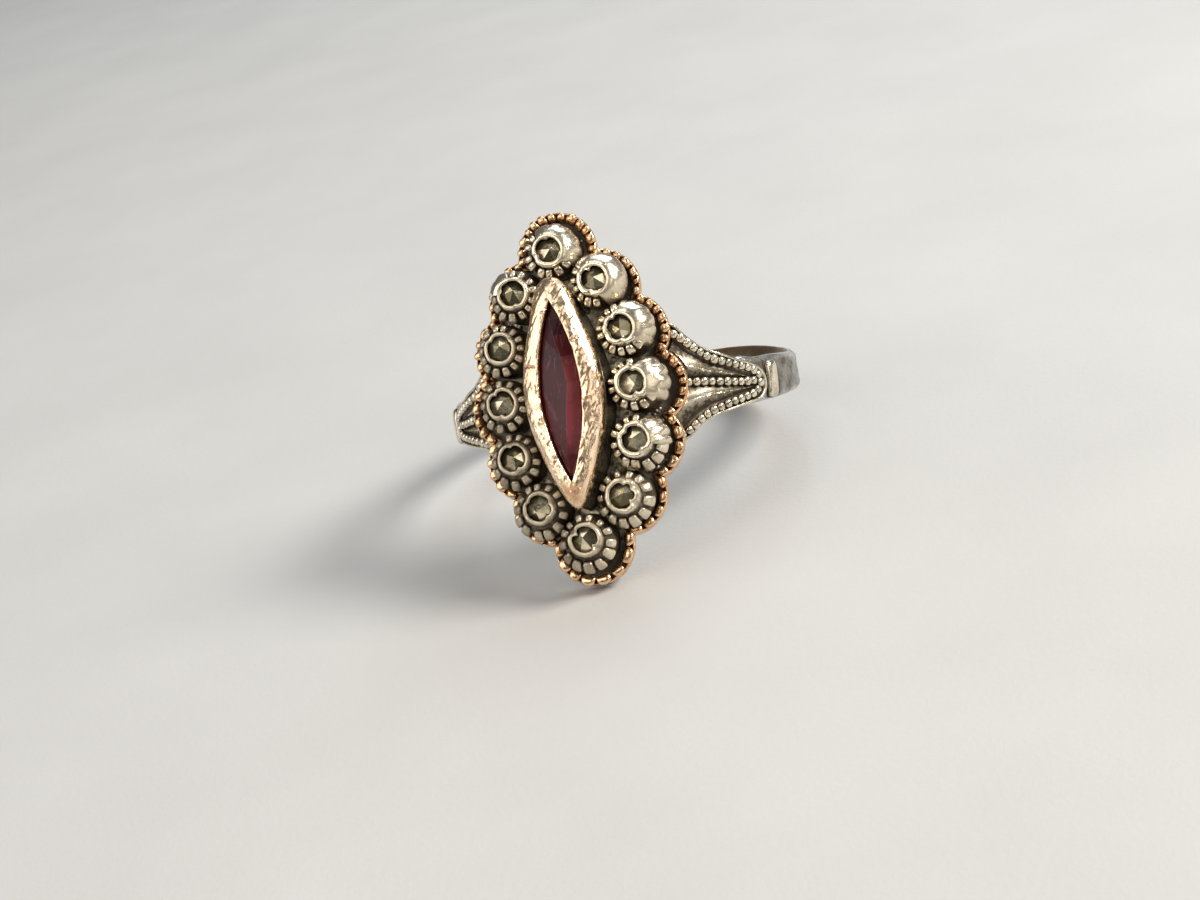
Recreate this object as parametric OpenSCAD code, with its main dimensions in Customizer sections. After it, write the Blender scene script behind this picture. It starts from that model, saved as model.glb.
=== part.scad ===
// Marquise cluster ring.
//
// A long scalloped head carries one marquise stone in the middle and twelve
// small round stones in cups around it. A gold border wall with a scallop for
// each cup runs round the head. Two fan-shaped shoulders, each with a knuckle
// bar at its tip, join the head to a plain band.
//
// Millimetres. The ring lies on a table as it comes to rest by itself, +Z up,
// with its head towards -Y. The origin is the bottom centre of its box.
//
// Two inner frames are used. The head frame has the finger hole's centre at
// its origin, X across the head, Z along the head and -Y out of its face. The
// shank frame is the same turned by the skew between head and shank, because
// the shank of this worn ring no longer stands square to its head.

/* [Finger hole and band] */
// Radius of the finger hole
finger_r = 9.1; // [8:0.05:11]
// Thickness of the band
band_t = 1.1; // [0.9:0.05:1.4]
// Width of the band, along the finger
band_w = 2.5; // [2:0.05:3.5]
// Rounding of the band's two outer edges
band_round = 0.45; // [0.2:0.05:0.6]
// Bevel of the band's two inner edges
band_bevel = 0.4; // [0.1:0.05:0.4]

/* [Shoulders] */
// Angle from the head's middle to a fan's tip
fan_tip_deg = 62; // [58:1:68]
// Angle from the head's middle to where a fan ends under the head
fan_root_deg = 21; // [18:1:26]
// How far the fans' rim and wires stand above the band
fan_relief = 0.25; // [0.1:0.05:0.4]
// Width of a fan's raised rim
fan_rim_w = 0.5; // [0.3:0.05:0.8]
// Height of the knuckle bar above the band
knuckle_h = 0.28; // [0.1:0.02:0.5]
// Width of the knuckle bar
knuckle_w = 0.8; // [0.6:0.05:1.2]

/* [Skew of the shank] */
// Lean of the shank against the head, about the head's width
skew_deg = 12.5; // [0:0.5:15]
// Turn of the shank about the head's face direction
skew_roll = 0.8; // [-3:0.1:3]
// Sideways offset of the shank's centre
shank_side = 0.39; // [-0.8:0.01:0.8]
// Offset of the shank's centre along the head
shank_along = 1.31; // [0:0.01:1.6]

/* [Head] */
// Height of the border's top above the finger hole's centre
border_top = 10.4; // [10.2:0.05:11.5]
// Height of the border's wall
border_h = 0.95; // [0.7:0.05:1.2]
// Width of the border's wall
border_w = 0.5; // [0.3:0.05:0.7]
// Radius of each scallop
lobe_r = 2.26; // [2.1:0.02:2.4]
// Depth of the head's floor below the border's top
floor_depth = 0.45; // [0.3:0.05:0.6]
// Radius of the head's bend across its width
head_bend_r = 25; // [20:1:60]

/* [Cups] */
// Height of a cup's top above the border's top
cup_h = 1.65; // [1.2:0.05:2]
// Radius of a cup at its foot
cup_foot_r = 1.34; // [1.1:0.02:1.36]
// Radius of the collet that holds a stone, outside
collet_r = 1.0; // [0.9:0.02:1.1]
// Wall of the collet
collet_t = 0.2; // [0.15:0.01:0.25]
// Radius of the drilled hole behind a stone
cup_hole_r = 0.45; // [0.3:0.05:0.6]

/* [Marquise setting] */
// Half width of the setting's rim, outside
rim_half_w = 2.16; // [1.9:0.02:2.2]
// Half length of the setting's rim, outside
rim_half_l = 6.22; // [5.6:0.02:6.3]
// Half width of the opening over the stone
open_half_w = 1.12; // [0.9:0.02:1.2]
// Half length of the opening over the stone
open_half_l = 4.82; // [4.4:0.02:5]
// Height of the rim's outer edge above the border's top
rim_low = 2.25; // [1.9:0.05:2.4]
// Height of the rim's inner edge above the border's top
rim_high = 2.78; // [2.5:0.02:3]
// Height of the stone's ridge above the border's top
ridge_h = 2.62; // [2.5:0.02:2.7]

/* [Small gap] */
// Gap between pieces that aren't soldered to each other
gap = 0.03; // [0.02:0.01:0.05]

/* [Rest] */
// How far the head faces up from level, as the ring lies by itself
rest_tilt = 32.9; // [20:0.1:45]
// Lean to the side, as the ring lies by itself
rest_roll = -1.5; // [-5:0.1:5]
// Shift that brings the box's bottom centre to the origin
rest_shift = [-0.36, 2.17, 3.49];

/* [Hidden] */

band_r = finger_r + band_t;
bevel = min(band_bevel, band_t - band_round - 0.02);

// One quarter of the cups, from the head's top to its side.
// Columns: across the head, along the head, how far the scallop's centre lies
// outside the cup's centre.
ACROSS = 0; ALONG = 1; OUTSET = 2;
QUARTER = [
    [0,    7.85,  0.15],
    [2.30, 5.85, -0.34],
    [3.38, 3.00, -0.10],
    [3.63, 0,     0.22],
];
// Row of the quarter, and the two signs, of cup k, counted from 0 at the top
function q_of(k) = k <= 3 ? k : k <= 6 ? 6 - k : k <= 9 ? k - 6 : 12 - k;
function sx(k) = k < 6 ? 1 : -1;
function sy(k) = (k <= 3 || k >= 9) ? 1 : -1;
function cup_at(k) = [sx(k)*QUARTER[q_of(k)][ACROSS], sy(k)*QUARTER[q_of(k)][ALONG]];
function unit(v) = v / norm(v);
// The scallops lean outwards, more across the head than along it
function lobe_at(k) = cup_at(k) + QUARTER[q_of(k)][OUTSET]
                      * unit([cup_at(k)[0], 0.45*cup_at(k)[1]]);
cups = [for (k = [0:11]) cup_at(k)];
lobes = [for (k = [0:11]) lobe_at(k)];

// Sections of a shoulder fan. Columns: angle from the head's middle, middle of
// the fan along the finger, half width.
FAN_DEG = 0; FAN_MID = 1; FAN_HALF = 2;
FAN = [
    [21,   0.70, 3.40],
    [26,   0.78, 3.35],
    [31,   0.82, 3.10],
    [35,   0.66, 2.45],
    [40,   0.46, 1.92],
    [45,   0.30, 1.62],
    [50,   0.14, 1.36],
    [55,   0.00, 1.14],
    [59,  -0.10, 0.92],
    [61,  -0.12, 0.66],
    [62,  -0.12, 0.25],
];
// The table's angles, stretched to the stated root and tip
function fan_deg(i) = fan_root_deg + (FAN[i][FAN_DEG] - 21)
                      * (fan_tip_deg - fan_root_deg) / 41;

// Outline of a marquise with half width w and half length l, n points to a
// side. blunt rounds its two ends off.
function marquise(w, l, blunt = 0, n = 20) = [for (i = [0:2*n-1]) let (
        s = i < n ? 1 : -1, c = s*cos(180*(i % n)/n),
        x = w*(1 - c*c) + 3*blunt*pow(abs(c), 6)*sqrt(max(0, 1 - c*c)))
    [s*x, l*c]];

// ---------------------------------------------------------------- shank frame
module shank_frame() {
    translate([shank_side, 0, shank_along]) rotate([skew_deg, skew_roll, 0]) children();
}
// A wall around the finger hole, out to radius r, between the heights z0 and z1
module hoop(r, z0, z1) {
    rotate_extrude($fn = 96) translate([finger_r, z0]) square([r - finger_r, z1 - z0]);
}
// A flat outline given as [away from the head, along the finger], cut right
// through both shoulders
module side_cut(outline) {
    rotate([90, 0, 90]) linear_extrude(height = 30, center = true) polygon(outline);
}
// A strip of the fan between the shares a and b of its half width
function fan_y(i) = -band_r*cos(fan_deg(i));
function strip(a, b, cut = 0) = concat(
    [for (i = [0:len(FAN)-1]) [fan_y(i), FAN[i][FAN_MID] + a*max(FAN[i][FAN_HALF] - cut, 0.05)]],
    [for (i = [len(FAN)-1:-1:0]) [fan_y(i), FAN[i][FAN_MID] + b*max(FAN[i][FAN_HALF] - cut, 0.05)]]);

module band() {
    // the plain band, from one shoulder round the back to the other
    difference() {
        rotate_extrude($fn = 96) union() {
            polygon([[finger_r, band_w/2 - bevel], [finger_r + bevel, band_w/2],
                     [band_r - band_round, band_w/2], [band_r - band_round, -band_w/2],
                     [finger_r + bevel, -band_w/2], [finger_r, -band_w/2 + bevel]]);
            translate([finger_r + bevel, -band_w/2 + band_round])
                square([band_t - bevel, band_w - 2*band_round]);
            for (s = [-1, 1]) translate([band_r - band_round, s*(band_w/2 - band_round)])
                circle(r = band_round, $fn = 32);
        }
        translate([-20, -40 - band_r*cos(48), -10]) cube([40, 40, 20]);
    }
}
module fans() {
    difference() {
        union() {
            // the floor of both fans, level with the band
            intersection() {
                hoop(band_r, -6, 6);
                side_cut(strip(1, -1));
            }
            // the raised rim, upper and lower, and the wire along the middle
            intersection() {
                hoop(band_r + fan_relief, -6, 6);
                union() {
                    difference() {
                        side_cut(strip(1, -1));
                        side_cut(strip(1, -1, fan_rim_w));
                    }
                    side_cut(strip(0.1, -0.1));
                }
            }
        }
        // open behind the head, between the two roots
        translate([0, -band_r, 0]) cube([2*finger_r*sin(fan_root_deg + 1), 6, 14], center = true);
    }
}
module knuckles() {
    for (s = [-1, 1]) rotate([0, 0, s*(fan_tip_deg + 4)])
        translate([0, -(band_r + knuckle_h - knuckle_w/2), -0.12])
            cylinder(h = band_w - 0.6, r = knuckle_w/2, center = true, $fn = 32);
}

// ----------------------------------------------------------------- head frame
// Head pieces are drawn with x across, y along and z out of the face, z = 0 at
// the finger hole's centre
module head_frame() { rotate([90, 0, 0]) children(); }
// The head's outline, each scallop at radius r
module scallops(r) {
    for (p = lobes) translate(p) circle(r = r, $fn = 64);
    polygon(lobes);
}
// What lies between two depths below the border's bent top
module bent(d0, d1) {
    translate([0, 0, border_top - head_bend_r]) rotate([90, 0, 0]) difference() {
        cylinder(h = 40, r = head_bend_r - d0, center = true, $fn = 128);
        cylinder(h = 41, r = head_bend_r - d1, center = true, $fn = 128);
    }
}
// All that lies above a depth below the border's bent top, inside an outline
module above(d, r) {
    difference() {
        translate([0, 0, border_top - 3]) linear_extrude(height = 6) scallops(r);
        translate([0, 0, border_top - head_bend_r]) rotate([90, 0, 0])
            cylinder(h = 40, r = head_bend_r - d, center = true, $fn = 128);
    }
}
module plate() {
    intersection() {
        translate([0, 0, border_top - 4]) linear_extrude(height = 5)
            scallops(lobe_r - border_w - gap);
        bent(floor_depth, border_h);
    }
}
module cup_solid() {
    // z = 0 at the border's top
    rotate_extrude($fn = 48) polygon([
        [0, -floor_depth - 0.25], [cup_foot_r, -floor_depth - 0.25], [cup_foot_r, 0.55],
        [cup_foot_r - 0.08, 0.95], [collet_r + 0.12, 1.3], [collet_r, 1.36],
        [collet_r, cup_h], [0, cup_h]]);
}
module cup_bore() {
    translate([0, 0, cup_h - 0.75]) cylinder(h = 1, r = collet_r - collet_t, $fn = 48);
    translate([0, 0, -3]) cylinder(h = 5, r = cup_hole_r, $fn = 32);
}
module wall() {
    // the silver wall under the marquise rim
    translate([0, 0, border_top - border_h + 0.1])
        linear_extrude(height = border_h - 0.1 + rim_low - 0.6 - gap)
            polygon(marquise(rim_half_w - 0.03, rim_half_l - 0.03, 0.18));
}
module pocket() {
    // the stone's seat, and the window behind it
    translate([0, 0, border_top + 0.35]) linear_extrude(height = 5)
        polygon(marquise(open_half_w + 0.45, open_half_l + 0.55));
    translate([0, 0, border_top - 3]) linear_extrude(height = 6)
        polygon(marquise(open_half_w - 0.1, open_half_l - 0.5));
}

module rest() {
    translate(rest_shift) rotate([0, rest_roll, 0]) rotate([-rest_tilt, 0, 0]) children();
}

// -------------------------------------------------------------------- pieces
// Band, knuckles, fans, plate, cups and the setting's wall, soldered into one
module silver_mount() {
    color("silver") rest() {
        difference() {
            shank_frame() { band(); fans(); knuckles(); }
            // the fans end in the plate's back and stay clear of the border
            head_frame() {
                above(border_h - 0.25, lobe_r - border_w);
                difference() {
                    above(border_h + gap, lobe_r + gap);
                    translate([0, 0, border_top - 4]) linear_extrude(height = 8)
                        scallops(lobe_r - border_w - gap);
                }
            }
        }
        head_frame() difference() {
            union() {
                plate();
                for (p = cups) translate([p[0], p[1], border_top]) cup_solid();
                wall();
            }
            for (p = cups) translate([p[0], p[1], border_top]) cup_bore();
            pocket();
        }
    }
}
// The scalloped gold wall round the head
module gold_border() {
    color([0.80, 0.52, 0.36]) rest() head_frame() intersection() {
        translate([0, 0, border_top - 4]) linear_extrude(height = 5) difference() {
            scallops(lobe_r);
            scallops(lobe_r - border_w);
        }
        bent(0, border_h);
    }
}
// The gold rim that holds the marquise stone. Columns of a section: share of
// the way from the outer to the inner edge, height above the border's top.
RIM = [[0, rim_low - 0.6], [0, rim_low], [0.35, rim_low + 0.36], [0.75, rim_high],
       [1, rim_high - 0.02], [1, rim_high - 0.4], [0.62, rim_high - 0.62],
       [0.62, rim_low - 0.6]];
function mix(a, b, t) = a + (b - a)*t;
module gold_bezel() {
    n = 20;
    rings = [for (s = RIM) [for (p = marquise(mix(rim_half_w, open_half_w, s[0]),
                mix(rim_half_l, open_half_l, s[0]), 0.18*(1 - s[0]), n))
                [p[0], p[1], border_top + s[1]]]];
    m = 2*n; r = len(RIM);
    points = [for (g = rings) for (p = g) p];
    faces = [for (j = [0:r-1]) for (i = [0:m-1])
             let (j2 = (j + 1) % r, i2 = (i + 1) % m)
             [j*m + i, j*m + i2, j2*m + i2, j2*m + i]];
    color([0.90, 0.66, 0.50]) rest() head_frame() polyhedron(points, faces, convexity = 6);
}
// The marquise stone: a keel from tip to tip over a girdle, and a keel below
module marquise_stone() {
    g = [open_half_w + 0.33, open_half_l + 0.42];
    color([0.35, 0.12, 0.25]) rest() head_frame() translate([0, 0, border_top]) hull() {
        translate([0, 0, rim_low - 0.55]) linear_extrude(height = 0.2) polygon(marquise(g[0] - 0.06, g[1] - 0.06));
        translate([0, 0, rim_high - 1.0]) linear_extrude(height = 0.2) polygon(marquise(g[0] - 0.06, g[1] - 0.06));
        translate([0, 0, ridge_h - 0.1]) cube([0.06, 2*open_half_l - 2.2, 0.2], center = true);
        translate([0, 0, 0.75]) cube([0.1, 2*open_half_l - 2.6, 0.2], center = true);
    }
}
// A small round stone with six low facets
module marcasite(k) {
    r = collet_r - collet_t - gap;
    color([0.30, 0.31, 0.27]) rest() head_frame()
        translate([cups[k][0], cups[k][1], border_top + cup_h - 0.75 + gap]) {
            cylinder(h = 0.3, r = r, $fn = 48);
            translate([0, 0, 0.3]) cylinder(h = 0.36, r1 = r, r2 = 0.12, $fn = 6);
        }
}
module marcasite_01() marcasite(0);
module marcasite_02() marcasite(1);
module marcasite_03() marcasite(2);
module marcasite_04() marcasite(3);
module marcasite_05() marcasite(4);
module marcasite_06() marcasite(5);
module marcasite_07() marcasite(6);
module marcasite_08() marcasite(7);
module marcasite_09() marcasite(8);
module marcasite_10() marcasite(9);
module marcasite_11() marcasite(10);
module marcasite_12() marcasite(11);

silver_mount();
gold_border();
gold_bezel();
marquise_stone();
marcasite_01();
marcasite_02();
marcasite_03();
marcasite_04();
marcasite_05();
marcasite_06();
marcasite_07();
marcasite_08();
marcasite_09();
marcasite_10();
marcasite_11();
marcasite_12();
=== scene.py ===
import math

import bpy
import numpy as np
from mathutils import Matrix, Vector
from mathutils.geometry import delaunay_2d_cdt


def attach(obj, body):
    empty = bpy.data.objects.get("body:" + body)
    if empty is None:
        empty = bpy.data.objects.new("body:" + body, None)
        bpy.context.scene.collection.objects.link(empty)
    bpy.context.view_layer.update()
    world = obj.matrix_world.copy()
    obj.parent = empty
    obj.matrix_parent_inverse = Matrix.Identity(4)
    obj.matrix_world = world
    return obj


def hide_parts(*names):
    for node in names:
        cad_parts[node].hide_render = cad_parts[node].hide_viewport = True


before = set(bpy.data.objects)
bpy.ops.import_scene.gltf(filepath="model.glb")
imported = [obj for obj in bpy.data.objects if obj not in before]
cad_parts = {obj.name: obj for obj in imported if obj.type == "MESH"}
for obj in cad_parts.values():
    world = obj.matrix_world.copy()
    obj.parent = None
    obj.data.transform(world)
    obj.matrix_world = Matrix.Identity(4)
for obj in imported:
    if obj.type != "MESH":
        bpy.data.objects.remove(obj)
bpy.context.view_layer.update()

# Everything below is drawn in millimetres in one of two inner frames and then
# placed in the row frame in metres.
#   head:  x across the head, y along it, z out of its face, z = 0 at the
#          finger hole's centre
#   shank: the ring's own frame, Z along the finger, angle from -Y towards +X
MM = 0.001


def rot(axis, deg):
    c, s = math.cos(math.radians(deg)), math.sin(math.radians(deg))
    return np.array({"x": [[1, 0, 0], [0, c, -s], [0, s, c]],
                     "y": [[c, 0, s], [0, 1, 0], [-s, 0, c]]}[axis])


REST, REST_AT = rot("y", -1.5) @ rot("x", -32.9), np.array([-0.36, 2.17, 3.49])
SKEW, SKEW_AT = rot("y", 0.8) @ rot("x", 12.5), np.array([0.39, 0.0, 1.31])


def row(P):
    return (np.asarray(P, float).reshape(-1, 3) @ REST.T + REST_AT) * MM


def head(P):
    P = np.asarray(P, float).reshape(-1, 3)
    return row(np.stack([P[:, 0], -P[:, 2], P[:, 1]], 1))


def shank_to_head(P):
    Q = np.asarray(P, float).reshape(-1, 3) @ SKEW.T + SKEW_AT
    return np.stack([Q[:, 0], Q[:, 2], -Q[:, 1]], 1)


def shank(P):
    return head(shank_to_head(P))


def ring_point(R, deg, z):
    a = np.radians(deg)
    return np.stack(np.broadcast_arrays(R * np.sin(a), -R * np.cos(a), z), -1)


# ------------------------------------------------------------------ helpers
def noise(P, size, seed=0):
    """Smooth value noise from -1 to 1 at the points P, with cells of that size."""
    Q = np.asarray(P, float).reshape(-1, 3) / size + 100.0 + seed * 17.31
    I = np.floor(Q).astype(np.int64)
    F = Q - I
    F = F * F * (3 - 2 * F)
    total = 0.0
    for dx in (0, 1):
        for dy in (0, 1):
            for dz in (0, 1):
                n = (I[:, 0] + dx) * 374761393 + (I[:, 1] + dy) * 668265263 + (I[:, 2] + dz) * 1440662683 + seed * 974711
                n = (n ^ (n >> 13)) * 1274126177
                n = n ^ (n >> 16)
                w = (F[:, 0] if dx else 1 - F[:, 0]) * (F[:, 1] if dy else 1 - F[:, 1]) * (F[:, 2] if dz else 1 - F[:, 2])
                total = total + w * ((n & 0xFFFFFF) / 0xFFFFFF)
    return total * 2 - 1


def curve(x, X, Y):
    """A smooth curve through the points X, Y, with X rising."""
    X, Y, x = np.asarray(X, float), np.asarray(Y, float), np.asarray(x, float)
    d = np.diff(Y) / np.diff(X)
    m = np.concatenate([[d[0]], (d[:-1] + d[1:]) / 2, [d[-1]]])
    i = np.clip(np.searchsorted(X, x, side="right") - 1, 0, len(X) - 2)
    h = X[i + 1] - X[i]
    t = np.clip((x - X[i]) / h, 0, 1)
    return ((1 + 2 * t) * (1 - t) ** 2 * Y[i] + t * (1 - t) ** 2 * h * m[i]
            + t * t * (3 - 2 * t) * Y[i + 1] + t * t * (t - 1) * h * m[i + 1])


def step(x, a, b):
    t = np.clip((x - a) / (b - a), 0, 1)
    return t * t * (3 - 2 * t)


def grid(n, m, wrap_n=False, wrap_m=False):
    i = np.arange(n if wrap_n else n - 1)[:, None]
    j = np.arange(m if wrap_m else m - 1)[None, :]
    i2, j2 = (i + 1) % n, (j + 1) % m
    return np.stack(np.broadcast_arrays(i * m + j, i * m + j2, i2 * m + j2, i2 * m + j), -1).reshape(-1, 4)


def volume(V, faces):
    total = 0.0
    for f in faces:
        for k in range(1, f.shape[1] - 1):
            a, b, c = V[f[:, 0]], V[f[:, k]], V[f[:, k + 1]]
            total += np.einsum("ij,ij->i", a, np.cross(b, c)).sum()
    return total


class Shape:
    """Closed meshes gathered into one piece, with four numbers at each point:
    dirt, how oxidised it is, and in places painted shade; warm, how brown, and in the stone how red its painted light
    is; tone, a shade of its own, with painted highlights and painted shade in places; film, how dull and grey, and in
    places painted shade."""

    def __init__(self):
        self.v, self.f, self.n = [], [], 0
        self.a = {"dirt": [], "warm": [], "tone": [], "film": []}

    def add(self, V, faces, dirt=0.0, warm=0.0, tone=0.5, film=0.0):
        V = np.asarray(V, float).reshape(-1, 3)
        faces = [np.asarray(f) for f in faces if len(f)]
        if volume(V - V.mean(0), faces) < 0:
            faces = [f[:, ::-1] for f in faces]
        self.v.append(V)
        self.f += [f + self.n for f in faces]
        self.n += len(V)
        for key, value in (("dirt", dirt), ("warm", warm), ("tone", tone), ("film", film)):
            self.a[key].append(np.broadcast_to(np.asarray(value, float), (len(V),)))

    def rings(self, P, wrap=False, **values):
        """A tube through the closed rings P (n, m, 3), its ends closed unless it wraps."""
        n, m = P.shape[:2]
        V, faces = P.reshape(-1, 3), [grid(n, m, wrap, True)]
        if not wrap:
            V = np.concatenate([V, [P[0].mean(0)], [P[-1].mean(0)]])
            j = np.arange(m)
            faces.append(np.stack([(j + 1) % m, j, np.full(m, n * m)], 1))
            faces.append(np.stack([(n - 1) * m + j, (n - 1) * m + (j + 1) % m, np.full(m, n * m + 1)], 1))
            for key in values:
                v = np.asarray(values[key], float)
                if v.size == n * m:
                    v = v.reshape(n, m)
                    values[key] = np.concatenate([v.ravel(), [v[0].mean()], [v[-1].mean()]])
        self.add(V, faces, **{k: np.asarray(v, float).ravel() if np.size(v) > 1 else v for k, v in values.items()})

    def piece(self, name, slot, material, place=head, nodes=(), sharp=38):
        V = place(np.concatenate(self.v))
        loops = np.concatenate([f.ravel() for f in self.f])
        sizes = np.concatenate([np.full(len(f), f.shape[1]) for f in self.f])
        me = bpy.data.meshes.new(name)
        me.vertices.add(len(V))
        me.vertices.foreach_set("co", V.astype(np.float32).ravel())
        me.loops.add(len(loops))
        me.loops.foreach_set("vertex_index", loops.astype(np.int32))
        me.polygons.add(len(sizes))
        me.polygons.foreach_set("loop_start", np.concatenate([[0], np.cumsum(sizes)[:-1]]).astype(np.int32))
        for key, value in self.a.items():
            if sum(len(v) for v in value) != len(V):
                continue
            me.attributes.new(key, "FLOAT", "POINT").data.foreach_set("value", np.concatenate(value).astype(np.float32))
        me.update(calc_edges=True)
        me.validate()
        me.polygons.foreach_set("use_smooth", np.full(len(me.polygons), sharp > 0))
        if sharp > 0:
            me.set_sharp_from_angle(angle=math.radians(sharp))
        me.materials.append(material)
        o = bpy.data.objects.new(name, me)
        bpy.context.scene.collection.objects.link(o)
        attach(o, "root")
        if nodes:
            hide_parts(*nodes)
        return o


def ball(nu=12, nv=8, e=1.0):
    """A unit ball, boxier as e falls under 1."""
    def p(x):
        return np.sign(x) * np.abs(x) ** e
    lat = np.linspace(-math.pi / 2, math.pi / 2, nv + 1)[1:-1]
    lon = np.linspace(0, 2 * math.pi, nu, endpoint=False)
    P = np.stack([p(np.cos(lat))[:, None] * p(np.cos(lon)), p(np.cos(lat))[:, None] * p(np.sin(lon)),
                  p(np.sin(lat))[:, None] * np.ones(nu)], -1)
    n = nv - 1
    V = np.concatenate([P.reshape(-1, 3), [[0, 0, -1], [0, 0, 1]]])
    j = np.arange(nu)
    low = np.stack([(j + 1) % nu, j, np.full(nu, n * nu)], 1)
    top = np.stack([(n - 1) * nu + j, (n - 1) * nu + (j + 1) % nu, np.full(nu, n * nu + 1)], 1)
    return V, [grid(n, nu, False, True), low, top]


BEAD, BEAD_F = ball(16, 10)
PETAL, PETAL_F = ball(20, 14, 0.50)
MILL, MILL_F = ball(18, 12, 0.78)
rng = np.random.default_rng(11)


def unit(v):
    v = np.asarray(v, float)
    return v / np.linalg.norm(v)


# ------------------------------------------------------- the head's own numbers
BORDER_TOP, BEND, LOBE, BORDER_W = 10.4, 25.0, 2.26, 0.5
FLOOR, BORDER_H, CUP_H, COLLET = 0.45, 0.95, 1.65, 1.0
QUARTER = [(0.0, 7.85, 0.15), (2.30, 5.85, -0.34), (3.38, 3.00, -0.10), (3.63, 0.0, 0.22)]


def quarter(k):
    q = k if k <= 3 else 6 - k if k <= 6 else k - 6 if k <= 9 else 12 - k
    return QUARTER[q], (1 if k < 6 else -1), (1 if k <= 3 or k >= 9 else -1)


CUPS = np.array([(sx * q[0], sy * q[1]) for q, sx, sy in map(quarter, range(12))])
OUT = np.array([unit((c[0], 0.45 * c[1])) for c in CUPS])
LOBES = np.array([c + quarter(k)[0][2] * OUT[k] for k, c in enumerate(CUPS)])


def drop(x):
    return BEND - np.sqrt(BEND ** 2 - np.asarray(x, float) ** 2)


def valley(a, b, r):
    m, d = (a + b) / 2, np.linalg.norm(b - a)
    n = np.array([-(b - a)[1], (b - a)[0]]) / d
    n = n if n @ m > 0 else -n
    return m + n * math.sqrt(r * r - d * d / 4)


def scallops(r, n):
    """The head's outline with each scallop at radius r, n points to a scallop, clockwise from the top, and the outward direction at each."""
    P, N = [], []
    cut = [valley(LOBES[k], LOBES[(k + 1) % 12], r) for k in range(12)]
    for k in range(12):
        a, b = cut[k - 1] - LOBES[k], cut[k] - LOBES[k]
        a0, a1 = math.atan2(a[1], a[0]), math.atan2(b[1], b[0])
        while a1 > a0:
            a1 -= 2 * math.pi
        t = a0 + (a1 - a0) * np.arange(n) / n
        N.append(np.stack([np.cos(t), np.sin(t)], 1))
        P.append(LOBES[k] + r * N[-1])
    return np.concatenate(P), np.concatenate(N)


def in_polygon(P, poly):
    x, y = P[:, 0], P[:, 1]
    inside = np.zeros(len(P), bool)
    for a, b in zip(poly, np.roll(poly, -1, 0)):
        crosses = (a[1] > y) != (b[1] > y)
        with np.errstate(divide="ignore", invalid="ignore"):
            inside ^= crosses & (x < (b[0] - a[0]) * (y - a[1]) / (b[1] - a[1]) + a[0])
    return inside


def in_head(P, r):
    near = (np.linalg.norm(P[:, None] - LOBES[None], axis=2) < r).any(1)
    return near | in_polygon(P, LOBES)


def marquise(w, l, blunt, n):
    i = np.arange(2 * n)
    s = np.where(i < n, 1.0, -1.0)
    c = s * np.cos(np.pi * (i % n) / n)
    x = w * (1 - c * c) + 3 * blunt * np.abs(c) ** 6 * np.sqrt(np.maximum(0, 1 - c * c))
    return np.stack([s * x, l * c], 1)


# ---------------------------------------------------------------- materials
class Nodes:
    """Builds a node tree: each call makes a node, and a socket given as a value is linked."""

    def __init__(self, name):
        self.m = bpy.data.materials.new(name)
        self.m.use_nodes = True
        self.t = self.m.node_tree
        self.t.nodes.clear()

    def __call__(self, kind, inputs=(), **settings):
        n = self.t.nodes.new("ShaderNode" + kind)
        for k, v in settings.items():
            setattr(n, k, v)
        for k, v in dict(inputs).items():
            if isinstance(v, bpy.types.NodeSocket):
                self.t.links.new(v, n.inputs[k])
            else:
                n.inputs[k].default_value = v
        return n

    def math(self, op, a, b=0.0, c=0.0, clamp=False):
        return self("Math", {0: a, 1: b, 2: c}, operation=op, use_clamp=clamp).outputs[0]

    def mix(self, f, a, b):
        n = self("Mix", {0: f}, data_type="RGBA")
        for i, v in ((6, a), (7, b)):
            if isinstance(v, bpy.types.NodeSocket):
                self.t.links.new(v, n.inputs[i])
            else:
                n.inputs[i].default_value = (*v, 1.0)
        return n.outputs[2]

    def lerp(self, f, a, b):
        n = self("Mix", {0: f, 2: a, 3: b}, data_type="FLOAT")
        return n.outputs[0]

    def noise(self, vector, scale, detail=3.0, rough=0.55, distort=0.0):
        return self("TexNoise", {"Vector": vector, "Scale": scale, "Detail": detail, "Roughness": rough,
                                 "Distortion": distort}).outputs[0]

    def range(self, v, a, b, c=0.0, d=1.0):
        return self("MapRange", {0: v, 1: a, 2: b, 3: c, 4: d}).outputs[0]

    def attribute(self, name):
        return self("Attribute", attribute_name=name).outputs["Fac"]

    def place(self, scale=(1, 1, 1), turn=(0, 0, 0)):
        """Object coordinates in millimetres, stretched and turned."""
        c = self("TexCoord").outputs["Object"]
        return self("Mapping", {"Vector": c, "Rotation": turn, "Scale": tuple(1000.0 * s for s in scale)}).outputs[0]


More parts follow.
